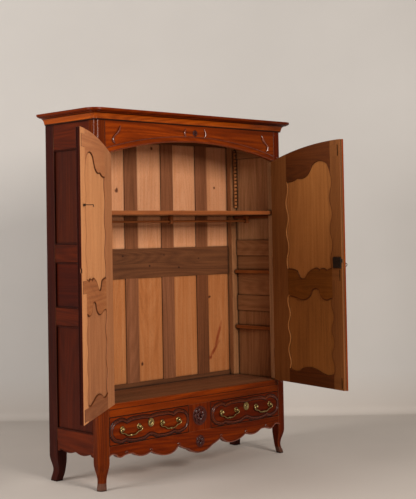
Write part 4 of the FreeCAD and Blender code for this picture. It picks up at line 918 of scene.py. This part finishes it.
# ------------------------------------------------------------------ operators
class ARMOIRE_OT_carcase(bpy.types.Operator):
    """Dress the boards of the carcase"""

    bl_idname = "armoire.carcase"
    bl_label = "Carcase boards"

    def execute(self, context):
        soft = sizes().edge_softness / MM
        for number, (node, choose) in enumerate((
                ("front_left_post", post_faces), ("front_right_post", post_faces), ("back_left_post", post_faces),
                ("back_right_post", post_faces), ("frieze_rail", front_board), ("lower_front_rail", front_board),
                ("centre_stile", low_board), ("apron_rail", low_board), ("left_side_rails", side_faces),
                ("left_side_panels", panel_faces), ("right_side_rails", side_faces),
                ("right_side_panels", panel_faces), ("shelf_boards", shelf_faces))):
            cuts = []
            if "post" in node or "side" in node:
                cuts = [("Z", DRAWER_BASE)] + [("Z", TOE)] * node.startswith("front")
            elif node in ("frieze_rail", "lower_front_rail"):
                cuts = [("X", -JOINT_EDGE), ("X", JOINT_EDGE)]
                cuts += [("Z", GROOVE_BASE), ("Z", GROOVE_TOP)] * (node == "lower_front_rail")
            dress(node, "carcase", "carcase", choose, soft, seed=number, cuts=cuts)
        plain = {"back_rails": "rail_board", "back_muntins": "dark_board", "floor_boards": "floor_board",
                 "top_boards": "dry_board", "side_cleats": "clean_board", "toothed_racks": "orange_board",
                 "hanging_rod": "clean_board", "rod_brackets": "clean_board", "drawer_runners": "dry_board"}
        for number, (node, kind) in enumerate(plain.items()):
            choose = muntins if node == "back_muntins" else lambda normal, centre, kind=kind: kind
            dress(node, "carcase", "carcase", choose, 0.9, seed=20 + number,
                  marks=RAIL_MARKS if node == "back_rails" else None)
        dress("cornice", "carcase", "carcase", cornice_faces, 0.8, seed=31,
              cuts=[("Z", level) for level in (BAND_BASE, BAND_TOP, BAND_TOP + BAND_QUIRK)])
        for number, (node, kind) in enumerate((("back_upper_panels", "pale_board"),
                                               ("back_lower_panels", "orange_board"))):
            dress(node, "carcase", "carcase", lambda normal, centre, kind=kind: kind, 0.8, seed=40 + number,
                  marks=PANEL_MARKS)
        return {"FINISHED"}


class ARMOIRE_OT_doors(bpy.types.Operator):
    """Dress the boards of both doors"""

    bl_idname = "armoire.doors"
    bl_label = "Doors"

    def execute(self, context):
        left_boards = (door_face("honey_low"), door_face("honey"), door_face("honey", "honey_low"))
        right_boards = (door_face("tawny_low"), door_face("tawny_low"), door_face("tawny_high", "tawny"))
        for index, (name, boards, rails) in enumerate((("left_door", left_boards, left_rail),
                                                       ("right_door", right_boards, right_rail))):
            right = name == "right_door"
            for number, part in enumerate(("hinge_stile", "lock_stile", "panels")):
                dress(f"{name}_{part}", name, name, boards[number], 0.9, seed=50 + 10 * index + number, grain="Z",
                      cuts=[("Y", EDGE_SPLIT)] if part == "lock_stile" else (), flush=in_lap if right else None)
            for number, part in enumerate(("top_rail", "middle_rail", "bottom_rail")):
                dress(f"{name}_{part}", name, name, rails, 0.9, seed=55 + 10 * index + number, grain="X",
                      cuts=[("X", -LOCK_STILE_EDGE)] if right else (), flush=in_lap if right else None)
        return {"FINISHED"}


class ARMOIRE_OT_drawers(bpy.types.Operator):
    """Dress the drawers and give their fields a moulded rim"""

    bl_idname = "armoire.drawers"
    bl_label = "Drawers"

    def execute(self, context):
        for side, name in ((-1, "left_drawer"), (1, "right_drawer")):
            seams = [("X", side * where) for where in DRAWER_SEAMS[:2]] + [("Z", where) for where in DRAWER_SEAMS[2:]]
            dress(f"{name}_front", "carcase", name, low_board, 1.4, seed=70 + side, cuts=seams)
            dress(f"{name}_box", "carcase", name, lambda normal, centre: "pale_board", 0.8, seed=72 + side)
            outline = drawer_field(side)
            rim = [(x, -5, z) for x, z in beside(outline, -6, True)]
            step = [(x, 0.5, z) for x, z in beside(outline, 4, True)]
            tubes(f"{name}_rim", [(rim, 4.0, True), (step, 3.0, True)], "carcase", name, "carved_rim")
            # Near-black tubes on either side of the rim: painted shade of the grooves there.
            grooves = [([(x, out, z) for x, z in beside(outline, away, True)], 2.4, True)
                       for away, out in ((9.5, 1.2), (-11.8, -3.9))]
            tubes(f"{name}_quirks", grooves, "carcase", name, "quirk")
        return {"FINISHED"}


class ARMOIRE_OT_mouldings(bpy.types.Operator):
    """Run the round mouldings of frieze, posts, sides and doors"""

    bl_idname = "armoire.mouldings"
    bl_label = "Mouldings"

    def execute(self, context):
        bead = sizes().bead_radius / MM
        arches = [([(x, 0, z) for x, z in arch(gap)], radius, False)
                  for gap, radius in zip(ARCH_BEADS, (bead, bead * 0.7))]
        tubes("frieze_beads", arches, "carcase", "carcase", "carved")
        uprights = [([(side * (OPENING_HALF + ARCH_BEADS[0]), 0, level) for level in POST_BEAD], bead, False)
                    for side in (-1, 1)]
        tubes("post_beads", uprights, "carcase", "carcase", "carved", "Z")
        loops = []
        front, back = SIDE_OPENING_DEPTH
        for side in (-1, 1):
            x = side * (BODY_HALF - 2)
            for low, high in SIDE_OPENINGS:
                square = [(x, front, low + 4), (x, back, low + 4), (x, back, high - 4), (x, front, high - 4)]
                loops.append((square, bead * 0.9, True))
        tubes("side_beads", loops, "carcase", "carcase", "polished_side", "Z")
        for side, name in ((1, "left_door"), (-1, "right_door")):
            runs = []
            for outline in door_openings():
                turned = [(side * x, z) for x, z in outline]
                for distance, out, radius in ((2, HINGE_OUT + 2.5, 4.2), (14, HINGE_OUT, 2.6)):
                    path = beside(outline, distance, True)
                    runs.append(([(side * x, out, z) for x, z in path], radius, True))
            tubes(f"{name}_beads", runs, name, name, "carved", "Z")
            # Beads on a door's inner face: the run along the hinge side in a paler wood as painted light, the rest in
            # dark umber as painted shade.
            lit, shaded = [], []
            for outline in door_openings():
                path = [(side * x, INNER_BEAD, z) for x, z in outline]
                hinge = [index for index, (x, z) in enumerate(outline) if x < HINGE_WAVE]
                first = min(index for index in hinge if index - 1 not in hinge)
                last = first
                while (last + 1) in hinge:
                    last += 1
                lit.append((path[first:last + 1], 4.8, False))
                shaded.append((path[last:] + path[:first + 1], 4.8, False))
            tubes(f"{name}_hinge_beads", lit, name, name, "amber" if name == "left_door" else "tawny_high", "Z")
            tubes(f"{name}_inner_beads", shaded, name, name, "umber", "Z")
        return {"FINISHED"}


SCROLL = [(-601, 2106, 2.0), (-606, 2094, 4.0), (-612, 2078, 5.5), (-628, 2060, 4.5), (-646, 2046, 3.4),
          (-655, 2036, 4.2), (-658, 2025, 5.8), (-654, 2013, 5.0), (-647, 2006, 3.0), (-641, 2003, 1.5)]


class ARMOIRE_OT_carving(bpy.types.Operator):
    """Carve the scrolls, rosettes and the edge of the apron"""

    bl_idname = "armoire.carving"
    bl_label = "Carving"

    def execute(self, context):
        runs = []
        for side in (-1, 1):
            points = [(-side * x, -1, z) for x, z, _ in SCROLL]
            runs.append((points, [radius * 1.45 for _, _, radius in SCROLL], False))
            bow = [(side * (77 + 13 * math.sin(math.pi * step / 8)), -0.5, 2064 + 6.6 * step) for step in range(9)]
            runs.append((bow, [2.0 + 5.0 * math.sin(math.pi * step / 8) for step in range(9)], False))
        tubes("frieze_scrolls", runs, "carcase", "carcase", "carved", "Z", seed=5)
        edge = apron_edge()
        inside = [(x, 0, z) for x, z in beside(edge, 5)]
        curls = [(inside, 4.4, False)]
        for side in (-1, 1):
            for x, z in ((180, 179), (402, 176), (590, 187)):
                hook = [(side * (x + 9 * math.cos(t)), -1, z + 12 + 9 * math.sin(t))
                        for t in (0.3 + 0.5 * step for step in range(8))]
                curls.append((hook, [3.6 - 0.35 * step for step in range(8)], False))
        tubes("apron_bead", curls, "carcase", "carcase", "carved", seed=6)
        big = sizes().rosette_radius / MM
        # Name, height, radius, petals to a ring and relief.
        flowers = (("stile_rosette", 341, big, 8, 14), ("apron_rosette", 185, big * 0.62, 6, 8),
                   ("frieze_rosette", 2092, big * 0.42, 6, 6))
        for name, height, radius, petals, thick in flowers:
            bm = on_front(rosette(radius, petals, thick), 0, height)
            one_board(bm, 4.2)
            settle(name, bm, "carcase", [wood("carved_deep", "Z")], smooth=60)
            if name != "frieze_rosette":
                # A dished roundel behind the flower, in the same near-black wood: painted shade of its sunk field.
                field = spun([(0, 0.6), (radius * 0.98, 0.6), (radius * 1.04, 2.2), (radius * 1.1, 1.6),
                              (radius * 1.12, -0.5)], 48)
                one_board(field, 2.6)
                settle(name + "_field", on_front(field, 0, height), "carcase", [wood("carved_deep", "Z")], smooth=60)
        return {"FINISHED"}


class ARMOIRE_OT_brass(bpy.types.Operator):
    """Make the bails, their posts and the keyhole plates"""

    bl_idname = "armoire.brass"
    bl_label = "Brass fittings"
    PLATE_HEIGHT = 352
    # Half of a bail, from its pivot round the swan neck to its middle: across, up and its radius there.
    HALF_BAIL = [(56, 0, 2.6), (66, 0, 3.0), (76, -1, 3.2), (82, -7, 3.4), (80, -17, 3.6), (68, -23, 3.2),
                 (54, -25, 3.0), (43, -31, 3.0), (34, -38, 3.2), (22, -40.5, 3.6), (16, -40.5, 4.6), (13, -40, 3.2),
                 (10, -40, 4.4), (7, -40, 5.2), (3, -40, 6.2)]

    def execute(self, context):
        brass = aged_brass()
        dark = keyhole_dark()
        for side, name in ((-1, "left_drawer"), (1, "right_drawer")):
            for word, way in (("inner", -1), ("outer", 1)):
                middle = side * (DRAWER_MIDDLE + way * BAIL_AWAY)
                shape = [(-x, z, radius) for x, z, radius in self.HALF_BAIL]
                shape += [(x, z, radius) for x, z, radius in reversed(self.HALF_BAIL)]
                points = [(middle + x, -HANDLE_OUT, HANDLE_HEIGHT + z) for x, z, _ in shape]
                bail = tubes(f"{name}_{word}_bail_brass", [(points, [radius for *_, radius in shape], False)],
                             "carcase", f"{name}_{word}_bail", brass, resolution=6)
                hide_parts(f"{name}_{word}_bail")
            parts = []
            for way in (-1, 1):
                for end in (-1, 1):
                    x = side * DRAWER_MIDDLE + way * BAIL_AWAY + end * HANDLE_HALF
                    parts.append(on_front(self.post(), x, HANDLE_HEIGHT))
            plate = spun([(0, 6.4), (7.4, 6.2), (9, 7.8), (11, 8.4), (13, 7), (17, 5.9), (20, 7.8), (22.2, 8.2),
                          (23.4, 6.4), (23.4, 4.8)], 40)
            for vert in plate.verts:
                vert.co.z *= 1.12
            parts.append(on_front(plate, side * DRAWER_MIDDLE, self.PLATE_HEIGHT))
            settle(f"{name}_fittings_brass", merge(bmesh.new(), parts), name, [brass], smooth=50,
                   replaces=(f"{name}_fittings",))
            hole = spun([(0, 6.8), (4.6, 6.8), (4.6, 5)], 20)
            slot = bmesh.new()
            bmesh.ops.create_cube(slot, size=1.0,
                                  matrix=at(0, -6.2, -5) @ Matrix.Diagonal((3.6 * MM, 1.2 * MM, 12 * MM, 1)))
            hole = on_front(merge(bmesh.new(), [hole, slot]), side * DRAWER_MIDDLE, self.PLATE_HEIGHT + 2)
            settle(f"{name}_keyhole", hole, name, [dark])
        show_as_is(["right_door_escutcheon"], brass)
        return {"FINISHED"}

    @staticmethod
    def post():
        """A handle post: a dished rosette, a waisted stem and a ball for the bail's end."""
        return spun([(0, 25), (5, 24.4), (8.8, 21.6), (10.6, 16.6), (9.6, 12.8), (6.6, 10.4), (4.8, 8.8), (6.4, 8.2),
                     (9, 8.8), (11, 8), (13, 7), (15, 7.4), (16.4, 6.4), (16.6, 5)], 28)


class ARMOIRE_OT_ironwork(bpy.types.Operator):
    """Finish hinges, locks, key and hook"""

    bl_idname = "armoire.ironwork"
    bl_label = "Ironwork"

    def execute(self, context):
        show_as_is(("fixed_hinges", "left_moving_hinges", "right_moving_hinges", "hook_plate",
                    "left_door_hook_staple", "left_door_hook", "right_door_lock_case", "right_door_lock_bolt",
                    "right_door_key", "left_drawer_bolt", "right_drawer_bolt"), forged_iron())
        return {"FINISHED"}


class ARMOIRE_OT_stage(bpy.types.Operator):
    """Set up the floor, the backdrop, the lights and the camera"""

    bl_idname = "armoire.stage"
    bl_label = "Stage"
    # The camera: its place from the carcase's front middle in metres, its turn, tilt and roll in degrees, and
    # its lens and upward shift, both in pixels of an image whose longer side is IMAGE_LONG.
    EYE = (-4.788, -5.103, 1.467)
    TURN, TILT, ROLL = 43.78, 1.70, -1.0
    LENS, SHIFT, IMAGE_LONG = 1124.3, -49.5, 499
    # The backdrop, in metres: its distance behind the origin, the radius of its foot, its height and how far
    # the floor reaches to each side and towards the camera.
    WALL_AWAY, COVE, WALL_HIGH, FLOOR_HALF, FLOOR_NEAR = 2.2, 0.07, 9, 12, 9

    def execute(self, context):
        colours = context.scene.armoire_colours
        look = math.radians(self.TURN)
        ahead = Vector((math.sin(look), math.cos(look), 0))
        right = Vector((ahead.y, -ahead.x, 0))
        bm = bmesh.new()
        previous = ahead * -self.FLOOR_NEAR
        run = [bm.edges.new([bm.verts.new(previous + right * offset)
                             for offset in (-self.FLOOR_HALF, self.FLOOR_HALF)])]
        path = [(self.WALL_AWAY, 0)]
        path += [(self.WALL_AWAY + self.COVE * math.sin(t), self.COVE - self.COVE * math.cos(t))
                 for t in (math.pi / 16 * step for step in range(1, 9))]
        for forward, up in path + [(self.WALL_AWAY + self.COVE, self.WALL_HIGH)]:
            spot = ahead * forward + Vector((0, 0, up))
            made = bmesh.ops.extrude_edge_only(bm, edges=run)["geom"]
            verts = [item for item in made if isinstance(item, bmesh.types.BMVert)]
            bmesh.ops.translate(bm, vec=spot - previous, verts=verts)
            run = [item for item in made if isinstance(item, bmesh.types.BMEdge)]
            previous = spot
        mesh = bpy.data.meshes.new("floor_and_backdrop")
        bm.normal_update()
        bm.faces.ensure_lookup_table()
        if bm.faces[0].normal.z < 0:
            bmesh.ops.reverse_faces(bm, faces=bm.faces)
        bm.to_mesh(mesh)
        bm.free()
        mesh.polygons.foreach_set("use_smooth", [True] * len(mesh.polygons))
        mesh.materials.append(self.plaster(colours))
        stand("floor_and_backdrop", mesh)

        world = bpy.data.worlds.new("studio_air")
        world.use_nodes = True
        world.node_tree.nodes.clear()
        air = add(world.node_tree, "Background", None, {"Color": linear("F4F0EA") + (1,), "Strength": 0.36})
        add(world.node_tree, "OutputWorld", None, {"Surface": air.outputs[0]})
        context.scene.world = world
        self.lamp("key_softbox", (-0.8, -6.4, 3.3), (-0.8, 0.1, 1.2), 2.2, 385, "FFF7EE")
        self.lamp("fill_softbox", (-6.4, 1.2, 3.0), (-0.6, 3.0, 1.2), 3.0, 320, "FFFBF6")

        camera = bpy.data.cameras.new("camera")
        camera.sensor_fit = "AUTO"
        camera.sensor_width = 36
        camera.lens = 36 * self.LENS / self.IMAGE_LONG
        camera.shift_y = self.SHIFT / self.IMAGE_LONG
        camera.clip_end = 60
        eye = stand("camera", camera)
        eye.matrix_world = (FRAMES["carcase"] @ Matrix.Translation(self.EYE) @ Matrix.Rotation(-look, 4, "Z")
                            @ Matrix.Rotation(math.radians(90 + self.TILT), 4, "X")
                            @ Matrix.Rotation(math.radians(self.ROLL), 4, "Z"))
        context.scene.camera = eye
        context.scene.view_settings.view_transform = "Standard"
        return {"FINISHED"}

    @staticmethod
    def plaster(colours):
        """Matt painted plaster: the floor a little darker than the wall."""
        material, tree = new_material("matt_painted_plaster")
        spot = own_place(tree)
        height = add(tree, "SeparateXYZ", None, {"Vector": spot}).outputs["Z"]
        mix = add(tree, "Mix", {"data_type": "RGBA"}, {"Factor": carried(tree, height, 0.0, 0.35)})
        mix.inputs[6].default_value = tuple(colours.floor) + (1,)
        mix.inputs[7].default_value = tuple(colours.wall) + (1,)
        mottle = scaled_noise(tree, spot, (1.3, 1.3, 1.3), 3.0)
        shade = arithmetic(tree, "MULTIPLY_ADD", mottle, 0.12, 0.94)
        shader, output = finish_material(tree, scaled(tree, mix.outputs[2], shade), 0.85, None,
                                         Specular_IOR_Level=0.2)
        # From behind, the backdrop is clear, so that it hides nothing in a view of the back.
        behind = add(tree, "NewGeometry").outputs["Backfacing"]
        clear = add(tree, "BsdfTransparent").outputs[0]
        either = add(tree, "MixShader", None, {0: behind, 1: shader.outputs[0], 2: clear})
        tree.links.new(either.outputs[0], output.inputs["Surface"])
        return material

    @staticmethod
    def lamp(name, place, target, size, power, code):
        """A square softbox that faces a point."""
        light = bpy.data.lights.new(name, "AREA")
        light.shape = "SQUARE"
        light.size = size
        light.energy = power
        light.color = linear(code)
        holder = stand(name, light)
        holder.location = place
        holder.rotation_euler = (Vector(target) - Vector(place)).to_track_quat("-Z", "Y").to_euler()


class ARMOIRE_PT_panel(bpy.types.Panel):
    """Lists the steps that dress the armoire"""

    bl_label = "Armoire"
    bl_idname = "ARMOIRE_PT_panel"
    bl_space_type = "VIEW_3D"
    bl_region_type = "UI"
    bl_category = "Armoire"

    def draw(self, context):
        for group in (context.scene.armoire_sizes, context.scene.armoire_colours):
            for name in group.__annotations__:
                self.layout.prop(group, name)
        for step in STEPS:
            self.layout.operator(step.bl_idname)


STEPS = (ARMOIRE_OT_carcase, ARMOIRE_OT_doors, ARMOIRE_OT_drawers, ARMOIRE_OT_mouldings, ARMOIRE_OT_carving,
         ARMOIRE_OT_brass, ARMOIRE_OT_ironwork, ARMOIRE_OT_stage)
CLASSES = (ArmoireSizes, ArmoireColours) + STEPS + (ARMOIRE_PT_panel,)


def register():
    """Makes the classes and their settings known to Blender."""
    for item in CLASSES:
        bpy.utils.register_class(item)
    bpy.types.Scene.armoire_sizes = bpy.props.PointerProperty(type=ArmoireSizes)
    bpy.types.Scene.armoire_colours = bpy.props.PointerProperty(type=ArmoireColours)


def unregister():
    """Takes them away again."""
    del bpy.types.Scene.armoire_sizes
    del bpy.types.Scene.armoire_colours
    for item in reversed(CLASSES):
        bpy.utils.unregister_class(item)


def main():
    """Runs every step."""
    register()
    for step in STEPS:
        group, name = step.bl_idname.split(".")
        getattr(getattr(bpy.ops, group), name)()


if __name__ == "__main__":
    main()
